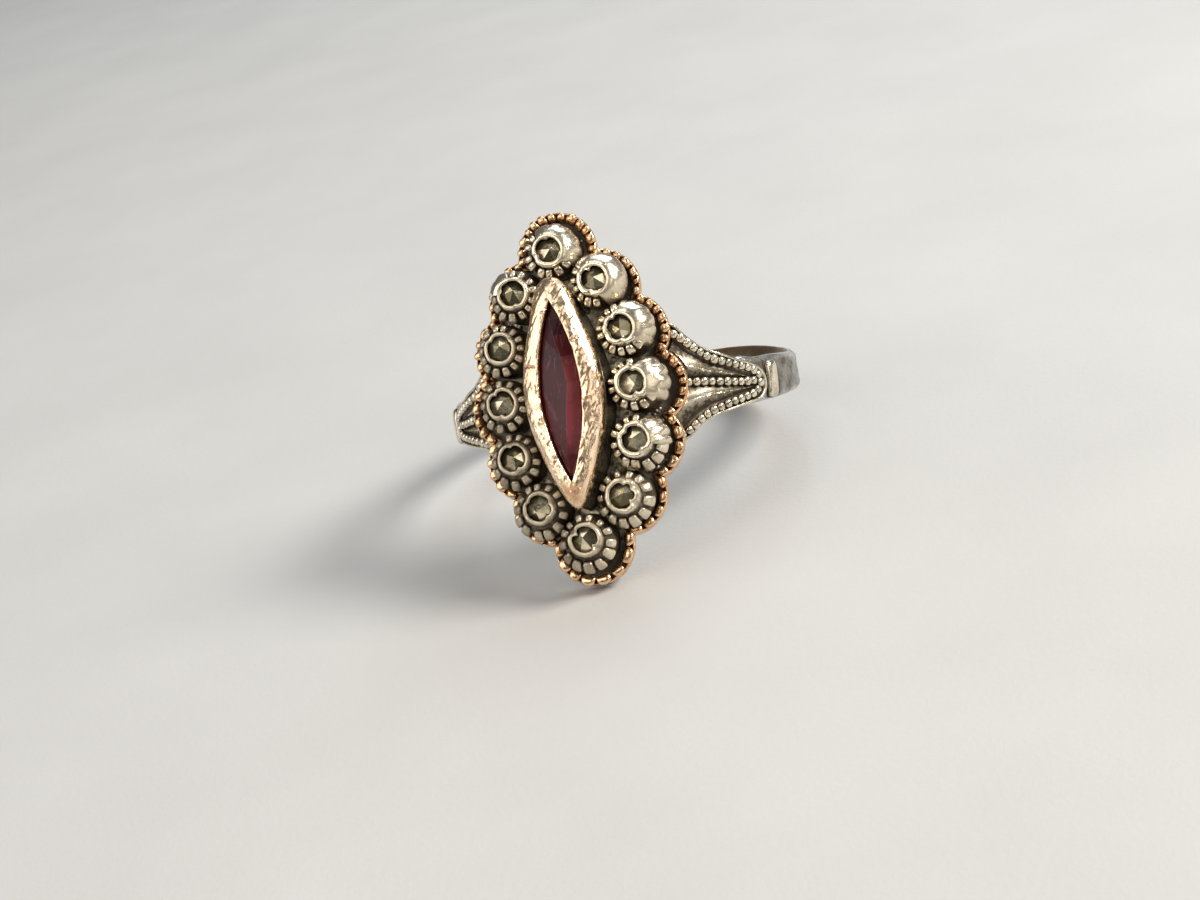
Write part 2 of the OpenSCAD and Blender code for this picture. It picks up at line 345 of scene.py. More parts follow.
def metal(name, bright, shade, dark, brown, rough=0.2, rough_dark=0.5, ao=0.45, gap=0.35, grime=0.5, scratch=0.5, pits=0.5, marks=0.006, metal_dark=0.55, skin=(0.40, 0.345, 0.24)):
    """Worn metal: bright on what is rubbed and where a highlight is painted, shade where it is dull and where shade is
    painted, dark where it is oxidised and in painted shade, brown where it is warm.
    gap is how wide a crevice is, in millimetres, that holds grime."""
    g = Nodes(name)
    p = g.place()
    dirt, warm, tone = g.attribute("dirt"), g.attribute("warm"), g.attribute("tone")
    open_ = g("AmbientOcclusion", {"Distance": gap * MM}, samples=6).outputs["AO"]
    cloud = g.noise(p, 0.9, 4.0, 0.6)
    fine = g.noise(p, 5.5, 4.0, 0.65)
    speck = g.noise(p, 13.0, 2.0, 0.6)
    long_ = g.noise(g.place((0.7, 9.0, 2.5), (0.3, 0.5, 0.9)), 1.6, 3.0, 0.6)
    cross = g.noise(g.place((8.0, 0.8, 3.0), (0.2, -0.4, 0.35)), 1.3, 3.0, 0.6)
    # grime lies where little light reaches, in patches, and where the shape's own numbers say; in places those numbers
    # are painted shade
    shut = g.range(open_, 1.0 - ao, 0.25, 0.0, 1.0)
    patch = g.range(cloud, 0.42, 0.72, 0.0, grime)
    m = g.math("ADD", g.math("MULTIPLY", shut, 1.0), dirt)
    m = g.math("ADD", m, g.math("MULTIPLY", patch, g.range(fine, 0.35, 0.62, 0.1, 1.0)))
    m = g.math("ADD", m, g.range(fine, 0.3, 0.7, -0.14, 0.14))
    dots = g.range(speck, 0.66 - 0.05 * pits, 0.70, 0.0, 0.75 * pits)
    m = g.math("ADD", m, g.math("MULTIPLY", dots, g.range(cloud, 0.35, 0.6, 0.2, 1.0)))
    mask = g.range(m, 0.12, 0.95, 0.0, 1.0)
    tones = g.math("ADD", g.math("MULTIPLY", g.math("SUBTRACT", tone, 0.5), 0.8), g.range(cloud, 0.3, 0.7, 0.0, 0.55), clamp=True)
    tones = g.math("ADD", tones, g.range(long_, 0.35, 0.7, -0.12, 0.22), clamp=True)
    high = g.mix(tones, bright, shade)
    high = g.mix(g.math("MULTIPLY", warm, g.range(cloud, 0.3, 0.65, 0.55, 1.0), clamp=True), high, brown)
    high = g.mix(g.math("MULTIPLY", g.attribute("film"), g.range(fine, 0.3, 0.65, 0.6, 1.0)), high, skin)
    low = g.mix(g.range(fine, 0.35, 0.65), dark, tuple(0.45 * d + 0.55 * b * 0.45 for d, b in zip(dark, brown)))
    colour = g.mix(mask, high, low)
    lines = g.math("ADD", g.range(long_, 0.55, 0.75, 0.0, 0.16 * scratch), g.range(cross, 0.56, 0.74, 0.0, 0.14 * scratch))
    r = g.math("ADD", g.math("ADD", rough, lines), g.range(fine, 0.3, 0.7, -0.04, 0.08))
    r = g.math("ADD", r, g.math("MULTIPLY", warm, 0.14))
    roughness = g.lerp(mask, r, rough_dark)
    h = g.math("ADD", g.math("MULTIPLY", fine, 0.5), g.math("MULTIPLY", g.math("ADD", long_, cross), 0.4 * scratch))
    h = g.math("SUBTRACT", h, g.math("MULTIPLY", dots, 0.8))
    h = g.math("ADD", h, g.math("MULTIPLY", g.math("MULTIPLY", speck, mask), 0.7))
    bump = g("Bump", {"Height": h, "Distance": marks * MM, "Strength": 1.0})
    b = g("BsdfPrincipled", {"Base Color": colour, "Roughness": roughness, "Normal": bump.outputs[0],
                             "Metallic": g.lerp(mask, g.math("SUBTRACT", 1.0, g.math("MULTIPLY", g.attribute("film"), 0.75)), metal_dark)})
    g("OutputMaterial", {"Surface": b.outputs[0]})
    return g.m


SILVER = metal("worn_silver", (0.90, 0.81, 0.645), (0.46, 0.372, 0.245), (0.022, 0.015, 0.008), (0.24, 0.15, 0.065),
               rough=0.20, rough_dark=0.45, ao=0.30, gap=0.42, grime=0.28, scratch=0.6, pits=0.35, marks=0.007)
BAND = metal("band_silver", (0.66, 0.67, 0.65), (0.150, 0.140, 0.118), (0.030, 0.023, 0.014), (0.31, 0.185, 0.082),
             rough=0.21, rough_dark=0.50, ao=0.35, gap=0.40, grime=0.80, scratch=0.9, pits=1.0, marks=0.010)
SHOULDER = metal("shoulder_silver", (0.83, 0.755, 0.605), (0.34, 0.295, 0.21), (0.014, 0.010, 0.006), (0.22, 0.14, 0.065),
                 rough=0.20, rough_dark=0.40, ao=0.30, gap=0.45, grime=0.45, scratch=0.7, pits=0.5, marks=0.007)
PLATE = metal("oxidised_silver", (0.80, 0.735, 0.57), (0.42, 0.385, 0.29), (0.078, 0.063, 0.044), (0.14, 0.085, 0.04),
              rough=0.32, rough_dark=0.55, ao=0.60, gap=0.22, grime=0.5, scratch=0.5, pits=0.8, marks=0.04, metal_dark=0.15)
GOLD = metal("rose_gold_rim", (1.0, 0.79, 0.56), (0.95, 0.63, 0.405), (0.42, 0.185, 0.080), (0.62, 0.30, 0.13),
             rough=0.20, rough_dark=0.34, ao=0.45, gap=0.20, grime=0.06, scratch=0.9, pits=0.12, marks=0.012, metal_dark=0.9)
COPPER = metal("rose_gold_border", (1.0, 0.71, 0.44), (0.70, 0.335, 0.14), (0.065, 0.021, 0.006), (0.38, 0.135, 0.036),
               rough=0.19, rough_dark=0.48, ao=0.38, gap=0.30, grime=0.35, scratch=0.5, pits=0.4, marks=0.008)


def pyrite():
    g = Nodes("pyrite")
    p = g.place()
    tone = g.attribute("tone")
    cloud = g.noise(p, 2.2, 4.0, 0.6)
    fine = g.noise(p, 9.0, 3.0, 0.6)
    # tone, set per facet, paints glints: a pale facet stands in for light caught on it
    pale = g.mix(tone, (0.140, 0.118, 0.058), (0.96, 0.86, 0.62))
    c = g.mix(g.range(cloud, 0.45, 0.75, 0.0, 0.8), pale, (0.10, 0.10, 0.06))
    # painted shade: dark in the gap where the stone meets its collet
    edge = g("AmbientOcclusion", {"Distance": 0.25 * MM}, samples=6).outputs["AO"]
    c = g.mix(g.range(edge, 0.50, 0.08), c, (0.030, 0.018, 0.010))
    r = g.range(fine, 0.3, 0.7, 0.07, 0.24)
    bump = g("Bump", {"Height": g.math("ADD", fine, cloud), "Distance": 0.006 * MM})
    b = g("BsdfPrincipled", {"Base Color": c, "Metallic": 0.82, "Roughness": r, "Normal": bump.outputs[0]})
    g("OutputMaterial", {"Surface": b.outputs[0]})
    return g.m


def amethyst():
    """Dark purple-red stone. tone is the light painted into each facet, from dark to light, and warm how red that
    painted light is.
    """
    g = Nodes("amethyst")
    p = g.place((1.0, 0.45, 1.0), (0.0, 0.0, 0.25))
    tone, warm = g.attribute("tone"), g.attribute("warm")
    cloud = g.noise(p, 0.55, 3.0, 0.55, 0.6)
    veil = g.noise(g.place((2.2, 0.6, 1.2), (0.3, 0.1, -0.3)), 0.8, 4.0, 0.6, 0.8)
    body = g.mix(tone, (0.018, 0.003, 0.006), (0.27, 0.070, 0.085))
    body = g.mix(g.math("MULTIPLY", warm, 0.8), body, (0.26, 0.034, 0.026))
    body = g.mix(g.range(cloud, 0.40, 0.75, 0.0, 0.7), body, (0.030, 0.007, 0.014))
    body = g.mix(g.range(veil, 0.55, 0.70, 0.0, 0.50), body, (0.23, 0.095, 0.120))
    thread = g.noise(g.place((5.5, 0.8, 1.0), (0.1, 0.0, -0.22)), 1.1, 4.0, 0.65, 1.2)
    body = g.mix(g.range(thread, 0.60, 0.70, 0.0, 0.45), body, (0.34, 0.17, 0.19))
    bump = g("Bump", {"Height": cloud, "Distance": 0.004 * MM})
    b = g("BsdfPrincipled", {"Base Color": body, "Roughness": g.range(veil, 0.3, 0.7, 0.10, 0.22), "Normal": bump.outputs[0],
                             "IOR": 1.55, "Specular IOR Level": 0.09, "Transmission Weight": 0.10})
    g("OutputMaterial", {"Surface": b.outputs[0]})
    return g.m


# ------------------------------------------------------------------- shoulders
FINGER, BAND_R, BAND_W = 9.1, 10.2, 2.5
# Columns: angle from the head's middle, middle of the fan along the finger, half width
FAN = np.array([(21, 0.70, 3.40), (26, 0.78, 3.35), (31, 0.82, 3.10), (35, 0.66, 2.45), (40, 0.46, 1.92), (45, 0.30, 1.62),
                (50, 0.14, 1.36), (55, 0.00, 1.14), (58, -0.09, 0.98), (60, -0.12, 0.80), (61.4, -0.13, 0.55), (62.1, -0.13, 0.30),
                (62.4, -0.13, 0.04)])
# The beaded wire inside the fan's rim, as angle and place along the finger
WIRE = np.array([(27, 3.62), (31, 3.33), (35.7, 2.56), (40.3, 1.86), (45.4, 1.42), (51.1, 1.04), (56.1, 0.68), (58.8, 0.30), (59.0, -0.22),
                 (56.4, -0.58), (51.2, -0.74), (45.9, -0.86), (41, -1.04), (36.1, -1.30), (31.3, -1.84), (27, -2.10)])
MIDDLE = np.array([(29, 0.74), (35.5, 0.62), (40.6, 0.47), (47.1, 0.26), (52, 0.12), (57.6, 0.02)])


def along(path, pitch, R=10.3):
    """Points every pitch millimetres along a path of (angle, place) rows, and the direction there."""
    t = np.arange(len(path))
    T = np.linspace(0, len(path) - 1, 1200)
    A, Z = curve(T, t, path[:, 0]), curve(T, t, path[:, 1])
    S = np.concatenate([[0], np.cumsum(np.hypot(np.diff(A) * math.pi / 180 * R, np.diff(Z)))])
    n = max(2, int(round(S[-1] / pitch)))
    s = (np.arange(n) + 0.5) * S[-1] / n
    a, z = np.interp(s, S, A), np.interp(s, S, Z)
    e = 0.05
    da = (np.interp(s + e, S, A) - np.interp(s - e, S, A)) * math.pi / 180 * R
    dz = np.interp(s + e, S, Z) - np.interp(s - e, S, Z)
    return a, z, da, dz, np.stack([A, Z], 1)


def fan_edge(n=260):
    a = np.concatenate([np.linspace(21, 58, n), np.linspace(58, 62.4, n // 2)])
    mid, half = curve(a, FAN[:, 0], FAN[:, 1]), curve(a, FAN[:, 0], FAN[:, 2])
    s = a * math.pi / 180 * BAND_R
    return np.concatenate([np.stack([s, mid + half], 1), np.stack([s, mid - half], 1)[::-1]])


EDGE = fan_edge()


def to_edge(a, z):
    P = np.stack([np.ravel(a) * math.pi / 180 * BAND_R, np.ravel(z)], 1)
    d = np.full(len(P), 1e9)
    for A, B in zip(EDGE[:-1], EDGE[1:]):
        ab = B - A
        t = np.clip(((P - A) @ ab) / max(ab @ ab, 1e-12), 0, 1)
        d = np.minimum(d, np.hypot(*(P - A - t[:, None] * ab).T))
    return d.reshape(np.shape(z))


def relief(a, z):
    """Height of the fan over its floor, how dark it is (patina in the hollows, painted shade down the leaves' flanks),
    and where the keels are painted light, on a grid of rows at one angle each.
    """
    d = to_edge(a, z)
    middle = curve(a, MIDDLE[:, 0], MIDDLE[:, 1])
    m = np.abs(z - middle)
    broad = 0.095 + 0.05 * step(a, 57.0, 60.5)
    rim = 0.20 * np.exp(-((d - broad) / broad) ** 4)
    bed = 0.05 * np.exp(-((d - 0.52) / 0.12) ** 2) + 0.05 * np.exp(-(m / 0.12) ** 2) * (a < 58)
    # two leaves, each with a sharp keel between hollow sides
    e = np.minimum(d - 0.76, m - 0.24)
    upper = z > middle
    peaks = [np.convolve(np.pad(np.where(part, e, -1).max(1), 4, mode="edge"), np.ones(9) / 9, "valid") for part in (upper, ~upper)]
    peak = np.maximum(np.where(upper, peaks[0][:, None], peaks[1][:, None]), 0.02)
    u = np.clip(e / peak, 0, 1)
    tall = np.clip(0.06 + 0.62 * peak, 0, 0.36)
    leaf = np.where((e > 0) & (peak > 0.03), tall * (0.30 * u ** 0.5 + 0.70 * u ** 2.4), 0) * step(a, 57.5, 54)
    h = rim + bed + leaf
    # painted shade down each leaf's flanks, fading out at the keel
    flank = np.where(e > 0, 0.88 * (1 - u ** 2.0), 0)
    # where a painted highlight runs along each keel
    keel = np.where(e > 0, step(u, 0.72, 0.95), 0)
    return h, np.clip(np.maximum(1.0 - h / 0.13, flank), 0, 1), keel


def under_head(P):
    """Shank points pressed under the head's back, in head coordinates."""
    Q = shank_to_head(P)
    top = BORDER_TOP - 0.93 - drop(np.clip(Q[:, 0], -12, 12))
    inside = in_head(Q[:, :2], LOBE + 0.02)
    Q[:, 2] = np.where(inside & (Q[:, 2] > top), top, Q[:, 2])
    return Q


def shoulder(side):
    a = np.concatenate([np.linspace(21, 57, 150), np.linspace(57.2, 62.4, 38)])
    w = np.sin(np.linspace(-math.pi / 2, math.pi / 2, 141) * 0.86) / math.sin(math.pi / 2 * 0.86)
    mid, half = curve(a, FAN[:, 0], FAN[:, 1]), curve(a, FAN[:, 0], FAN[:, 2])
    A = a[:, None] + 0 * w
    Z = mid[:, None] + half[:, None] * w
    H, D, K = relief(A, Z)
    floor = 10.12 + 0.10 * step(A, 41, 46)
    outer = floor + H
    inner = 9.1 + 0.50 * step(a, 48.2, 50.5)
    low, high = outer[:, :1], outer[:, -1:]
    t = np.array([0.08, 0.3, 0.6, 0.9])
    wi = np.linspace(1, -1, 21)
    R = np.concatenate([outer, high + (inner[:, None] - high) * t, inner[:, None] + 0 * wi, low + (inner[:, None] - low) * t[::-1]], 1)
    ZZ = np.concatenate([Z, Z[:, -1:] + 0 * t, mid[:, None] + half[:, None] * wi, Z[:, :1] + 0 * t], 1)
    dirt = np.concatenate([1.0 * D, 0.12 + 0 * t * a[:, None], 0.10 + 0 * wi * a[:, None], 0.12 + 0 * t * a[:, None]], 1)
    warm = np.concatenate([0 * D, 0.1 + 0 * t * a[:, None], 0.75 + 0 * wi * a[:, None], 0.1 + 0 * t * a[:, None]], 1)
    tone = np.full(R.shape, 0.48)
    # the keels drawn lighter: a painted highlight along each leaf
    tone[:, :K.shape[1]] -= 0.60 * K
    AA = a[:, None] + 0 * R
    P = ring_point(R, side * AA, ZZ).reshape(-1, 3)
    P = P + (0.012 * noise(P, 0.9, 3))[:, None] * unit_rows(P)
    s = Shape()
    s.rings(under_head(P).reshape(*R.shape, 3), dirt=dirt, warm=warm, tone=tone)
    return s


def unit_rows(P):
    Q = P * np.array([1, 1, 0])
    return Q / np.linalg.norm(Q, axis=1)[:, None]


def turned(direction, normal):
    """Axes with the first along direction and the third along normal."""
    n = unit(normal)
    t = unit(direction - n * (direction @ n))
    return np.array([t, np.cross(n, t), n])


def wires(shape, side):
    """Beads on a thin wire, along the fan's inside and its middle."""
    for path, pitch, size, R in ((WIRE, 0.462, 0.212, 10.325), (MIDDLE, 0.455, 0.208, 10.315)):
        a, z, da, dz, line = along(path, pitch)
        for i in range(len(a)):
            c = ring_point(R - 0.10 * (1 - step(a[i], 40, 46)), side * a[i], z[i])
            n = unit_rows(c[None])[0]
            tangent = np.array([math.cos(math.radians(side * a[i])), math.sin(math.radians(side * a[i])), 0]) * side
            d = tangent * da[i] + np.array([0, 0, dz[i]])
            T = turned(d, n)
            k = size * (1 + 0.10 * rng.uniform(-1, 1))
            V = MILL * np.array([k * 1.09, k * 1.13, k * 0.86]) @ T + c + n * 0.012 * rng.uniform(-1, 1)
            H = shank_to_head(c[None])[0]
            if in_head(H[None, :2], LOBE + 0.03)[0] and H[2] > BORDER_TOP - 1.0 - drop(H[0]):
                continue
            shape.add(shank_to_head(V), MILL_F, dirt=0.0, tone=rng.uniform(0.15, 0.7))
        # the wire that the beads are rolled in
        pts = line[::12]
        ring = []
        for i in range(len(pts)):
            j, k = max(i - 1, 0), min(i + 1, len(pts) - 1)
            n = unit_rows(ring_point(R, side * pts[i, 0], 0.0)[None])[0]
            tangent = np.array([math.cos(math.radians(side * pts[i, 0])), math.sin(math.radians(side * pts[i, 0])), 0]) * side
            d = tangent * (pts[k, 0] - pts[j, 0]) * math.pi / 180 * R + np.array([0, 0, pts[k, 1] - pts[j, 1]])
            T = turned(d, n)
            c = ring_point(R - 0.10 - 0.10 * (1 - step(pts[i, 0], 40, 46)), side * pts[i, 0], pts[i, 1])
            q = np.linspace(0, 2 * math.pi, 10, endpoint=False)
            ring.append(c + 0.13 * (np.cos(q)[:, None] * T[1] + np.sin(q)[:, None] * T[2]))
        P = np.array(ring)
        shape.rings(under_head(P.reshape(-1, 3)).reshape(P.shape), dirt=0.75, tone=0.5)


# ------------------------------------------------------------------------ band
def band():
    """The plain band from one shoulder round the back to the other, its edges rounded and worn and its inside bulged."""
    r, hw = 0.45, BAND_W / 2
    q = np.linspace(0, math.pi / 2, 9)
    sec = [(BAND_R, z) for z in np.linspace(-0.72, 0.72, 13)]
    sec += [(BAND_R - r + r * math.cos(t), hw - r + r * math.sin(t)) for t in q[1:]]
    bulge = [(9.68, 1.235), (9.61, 1.20), (9.53, 1.13), (9.44, 1.04), (9.35, 0.93), (9.26, 0.80), (9.185, 0.66), (9.135, 0.50), (9.108, 0.32)]
    sec += bulge + [(FINGER, z) for z in (0.14, 0.0, -0.14)] + [(x, -z) for x, z in bulge[::-1]]
    sec += [(BAND_R - r + r * math.cos(t), -hw + r - r * math.sin(t)) for t in q[::-1][:-1]]
    sec = np.array(sec)
    a = np.linspace(46, 314, 430)
    A = a[:, None] + 0 * sec[:, 0]
    R, Z = sec[:, 0] + 0 * A, sec[:, 1] + 0 * A
    inside = R < 9.72
    near = np.minimum(A - 46, 314 - A)
    R = np.where(inside, R + 0.02 + 0.03 * step(near, 6, 1), R)
    rounding = step(np.abs(Z), 0.80, 1.12) * (R > 9.6)
    # its upper edge narrows past the knuckle on the right, and runs into the fans in one line
    Z = Z + np.clip((Z + 1.25) / 2.5, 0, 1) * curve(A, [46, 66, 72, 80, 90, 100, 110, 120, 130, 140, 150, 165, 190, 230, 260, 290, 314],
                                                    [0, 0, -0.04, -0.14, -0.23, -0.24, -0.20, -0.12, 0.0, 0.09, 0.13, 0.09, 0.0, -0.06, -0.12, -0.04, 0.0])
    Z = Z + 0.24 * np.exp(-((near - 8) / 4.5) ** 2) * step(Z, 0.2, 1.15)
    # the edges are worn softer in places, and the outside has small dents, all inwards
    P = ring_point(R, A, Z).reshape(-1, 3)
    out = step(R, 9.7, 10.1).ravel()
    dents = 0.016 * (noise(P, 2.4, 5) - 1) + 0.006 * (noise(P, 0.7, 6) - 1)
    for at, z, size, deep in ((74, 0.55, 0.50, 0.030), (79, -0.35, 0.35, 0.022), (92, 0.2, 0.8, 0.02), (128, -0.5, 0.6, 0.03),
                              (163, 0.3, 0.9, 0.03), (205, -0.2, 0.7, 0.03), (251, 0.4, 0.5, 0.025), (284, -0.3, 0.6, 0.03)):
        d = np.linalg.norm(P - ring_point(BAND_R, at, z), axis=1)
        dents = dents - deep * np.exp(-(d / size) ** 2)
    P = P + (out * dents)[:, None] * unit_rows(P)
    face = step(R, 10.0, 10.19)
    dirt = 0.12 * face + 0.05 + 0.04 * (R < 9.3)
    # dark lines beside each knuckle: a dark joint on the shoulder's side, and a painted shadow of the bar on the far
    # side
    for at in (62.8, 70.0, 290.0, 297.2):
        dirt = dirt + 0.75 * face * np.exp(-((A - at) / 0.55) ** 2)
    speck = np.maximum(0, noise(P, 0.22, 15) - 0.05).reshape(R.shape) * step(noise(P, 0.8, 16), -0.5, 0.4).reshape(R.shape)
    dirt = dirt + 2.2 * speck * step(R, 9.9, 10.1) * np.exp(-((near - 29) / 8) ** 2) * step(Z, -0.5, 0.5)
    warm = np.where(inside, 1.0, 0.10)
    # the rounded edges are drawn lighter than the face: rubbed metal and a painted highlight
    tone = 1.0 - 0.96 * rounding
    s = Shape()
    s.rings(P.reshape(*R.shape, 3), dirt=dirt, warm=warm, tone=tone)
    return s


def knuckles():
    """One bar across the band at each shoulder's tip, waisted and rounded; the dark lines beside it are painted on the
    band.
    """
    s = Shape()
    for side in (-1, 1):
        # the bar is drawn light all over (tone 0.15): rubbed metal and a painted highlight
        for at, half, tall, z0, z1, tone in ((66.15, 0.595, 0.275, -1.19, 0.97, 0.15),):
            n, m = 34, 26
            t = np.linspace(-1, 1, n)
            q = np.linspace(0, 2 * math.pi, m, endpoint=False)
            fill = np.clip(1 - np.abs(t) ** 7, 0, 1) ** 0.5
            wide = half * (0.86 + 0.14 * t ** 2) * np.maximum(fill, 0.02)
            high = (0.38 + 0.02 * np.cos(t * 3)) * np.maximum(fill, 0.02)
            zc = (z0 + z1) / 2 + (z1 - z0) / 2 * t
            u = np.sign(np.cos(q)) * np.abs(np.cos(q)) ** 0.85
            v = np.sign(np.sin(q)) * np.abs(np.sin(q)) ** 0.85
            R = BAND_R + tall - 0.38 + high[:, None] * v
            A = at + 0.5 * (zc[:, None] + 0.11) + np.degrees(wide[:, None] * u / BAND_R)
            P = ring_point(R, side * A, zc[:, None] + 0 * R)
            P = P.reshape(-1, 3)
            P = P + (0.014 * noise(P, 0.5, 8))[:, None] * unit_rows(P)
            dirt = np.clip(0.95 - (R - BAND_R) / 0.13, 0, 0.95)
            s.rings(shank_to_head(P).reshape(n, m, 3), dirt=dirt, tone=tone)
    return s


# ------------------------------------------------------------------------ head
def plate():
    """The head's plate, bent across, with a drilled hole behind each cup and the window behind the marquise."""
    rim, _ = scallops(LOBE - BORDER_W - 0.02, 22)
    window = marquise(1.06, 4.38, 0.0, 26)
    holes = [c + 0.47 * np.stack([np.cos(t), np.sin(t)], 1) for c in CUPS for t in [np.linspace(0, 2 * math.pi, 26, endpoint=False)]]
    loops = [rim, window] + holes
    pts, edges = [], []
    for l in loops:
        n0 = len(pts)
        pts += [tuple(p) for p in l]
        edges += [(n0 + i, n0 + (i + 1) % len(l)) for i in range(len(l))]
    g = np.array([(x, y) for x in np.arange(-5.4, 5.5, 0.19) for y in np.arange(-9.6, 9.7, 0.19)])
    ok = in_head(g, LOBE - BORDER_W - 0.25) & ~in_polygon(g, marquise(1.3, 4.8, 0.0, 26))
    ok &= (np.linalg.norm(g[:, None] - CUPS[None], axis=2) > 0.65).all(1)
    pts += [tuple(p) for p in g[ok]]
    out = delaunay_2d_cdt([Vector(p) for p in pts], edges, [], 0, 1e-5)
    P = np.array([tuple(p) for p in out[0]])
    F = np.array([f for f in out[2] if len(f) == 3])
    c = P[F].mean(1)
    keep = in_head(c, LOBE - BORDER_W - 0.02) & ~in_polygon(c, window)
    keep &= (np.linalg.norm(c[:, None] - CUPS[None], axis=2) > 0.466).all(1)
    F = F[keep]
    used = np.unique(F)
    new = np.full(len(P), -1)
    new[used] = np.arange(len(used))
    P, F = P[used], new[F]
    a, b = P[F[:, 1]] - P[F[:, 0]], P[F[:, 2]] - P[F[:, 0]]
    flip = a[:, 0] * b[:, 1] - a[:, 1] * b[:, 0] < 0
    F[flip] = F[flip][:, ::-1]
    n = len(P)
    top = np.stack([P[:, 0], P[:, 1], BORDER_TOP - FLOOR - drop(P[:, 0])], 1)
    low = np.stack([P[:, 0], P[:, 1], BORDER_TOP - BORDER_H - drop(P[:, 0])], 1)
    border = np.zeros(n, bool)
    E = np.concatenate([F[:, [0, 1]], F[:, [1, 2]], F[:, [2, 0]]])
    have = {(x, y) for x, y in E.tolist()}
    rimE = np.array([(x, y) for x, y in have if (y, x) not in have])
    rimE = rimE[np.lexsort((rimE[:, 1], rimE[:, 0]))]
    border[rimE.ravel()] = True
    top[~border, 2] += 0.045 * noise(top[~border], 0.55, 4) + 0.085 * np.maximum(0, noise(top[~border], 0.30, 7)) ** 0.7
    low[~border, 2] += 0.02 * (noise(low[~border], 0.8, 9) + 0.5)
    wall = np.stack([rimE[:, 1], rimE[:, 0], rimE[:, 0] + n, rimE[:, 1] + n], 1)
    k = np.linalg.norm(P[:, None] - CUPS[None], axis=2).argmin(1)
    moat = step(np.einsum("ij,ij->i", P - CUPS[k], OUT[k]), -0.5, 0.5)
    s = Shape()
    s.add(np.concatenate([top, low]), [F, F[:, ::-1] + n, wall],
          dirt=np.concatenate([np.clip(0.30 - 3.0 * (top[:, 2] - BORDER_TOP + FLOOR + drop(P[:, 0])) + 0.65 * moat, 0.1, 1.0), np.full(n, 0.10)]),
          warm=np.concatenate([0.7 * moat, np.full(n, 0.5)]), tone=0.5)
    return s


def turn_section(sec, n, at, wobble=None):
    """A closed section (radius, height) turned round a cup."""
    sec = np.asarray(sec, float)
    t = np.linspace(0, 2 * math.pi, n, endpoint=False)
    R, H = sec[:, 0] + 0 * t[:, None], sec[:, 1] + 0 * t[:, None]
    if wobble:
        R, H = wobble(t[:, None] + 0 * R, R, H)
    return np.stack([at[0] + R * np.cos(t)[:, None], at[1] + R * np.sin(t)[:, None], BORDER_TOP + H], -1)


CUP = [(0.45, -0.60), (0.45, 0.10), (0.45, 0.88), (0.80, 0.90), (0.80, 1.10), (0.80, 1.20), (0.94, 1.22), (1.03, 1.19), (1.12, 1.09),
       (1.23, 0.95), (1.32, 0.81), (1.39, 0.64), (1.43, 0.45), (1.44, 0.20), (1.435, -0.05), (1.40, -0.60)]
# The collet's wall; its lip leans in over the stone
COLLET_SEC = [(0.805, 1.05), (0.80, 1.30), (0.785, 1.42), (0.755, 1.50), (0.715, 1.550), (0.695, 1.588), (0.705, 1.620), (0.745, 1.642), (0.800, 1.650),
              (0.855, 1.648), (0.905, 1.628), (0.945, 1.585), (0.968, 1.52), (0.982, 1.42), (1.00, 1.28), (1.02, 1.15), (1.04, 1.05)]
# Where each collet was pushed onto its stone: angle, how far
PUSHED = {1: [(95, 0.10), (200, 0.08), (330, 0.05)], 2: [(112, 0.14), (250, 0.10), (10, 0.05)], 3: [(120, 0.10), (272, 0.10), (200, 0.05)],
          4: [(80, 0.08), (285, 0.14), (350, 0.06)], 5: [(135, 0.10), (300, 0.14)], 6: [(75, 0.10), (322, 0.18), (25, 0.12)],
          7: [(142, 0.18), (318, 0.18)], 8: [(140, 0.07), (15, 0.10), (310, 0.08)], 9: [(98, 0.08), (295, 0.14)],
          10: [(118, 0.10), (262, 0.12)], 11: [(130, 0.08), (30, 0.05)], 12: [(160, 0.06), (280, 0.07)]}
# How much wider each collet is than the narrowest
WIDE = [0.01, 0.02, 0.03, 0.03, 0.02, -0.01, -0.04, -0.06, -0.06, -0.06, -0.055, -0.045]
# How dull and grey each cup is; the lower and left cups are duller and darker, partly as painted shade
DULL_AND_SHADED = [0.05, 0.0, 0.05, 0.10, 0.24, 0.48, 0.60, 0.60, 0.58, 0.50, 0.42, 0.30]
# Claws round each cup: how many, where the first stands, where the longest
# petals stand, and between which angles the flank is one smooth lobed dome
CLAWS = {1: (14, 8, 270, (-38, 118)), 2: (15, 5, 300, (-68, 124)), 3: (15, 2, 320, (-42, 88)), 4: (14, 9, 325, (-40, 66)), 5: (14, 3, 318, (-14, 62)),
         6: (13, 12, 300, None), 7: (13, 18, 268, None), 8: (13, 5, 250, None), 9: (13, 16, 232, None), 10: (13, 8, 222, None), 11: (14, 20, 212, None),
         12: (14, 4, 200, (100, 168))}


def cups():
    s = Shape()
    for k in range(12):
        P = turn_section(CUP, 56, CUPS[k])
        P = P.transpose(1, 0, 2)
        h = P[..., 2] - BORDER_TOP
        inner = np.linalg.norm(P[..., :2] - CUPS[k], axis=-1) < 0.82
        s.rings(P, wrap=True, dirt=np.where(inner, 1.0, 0.85), warm=np.where(inner, 0.8, 0.1), tone=0.7)
    return s


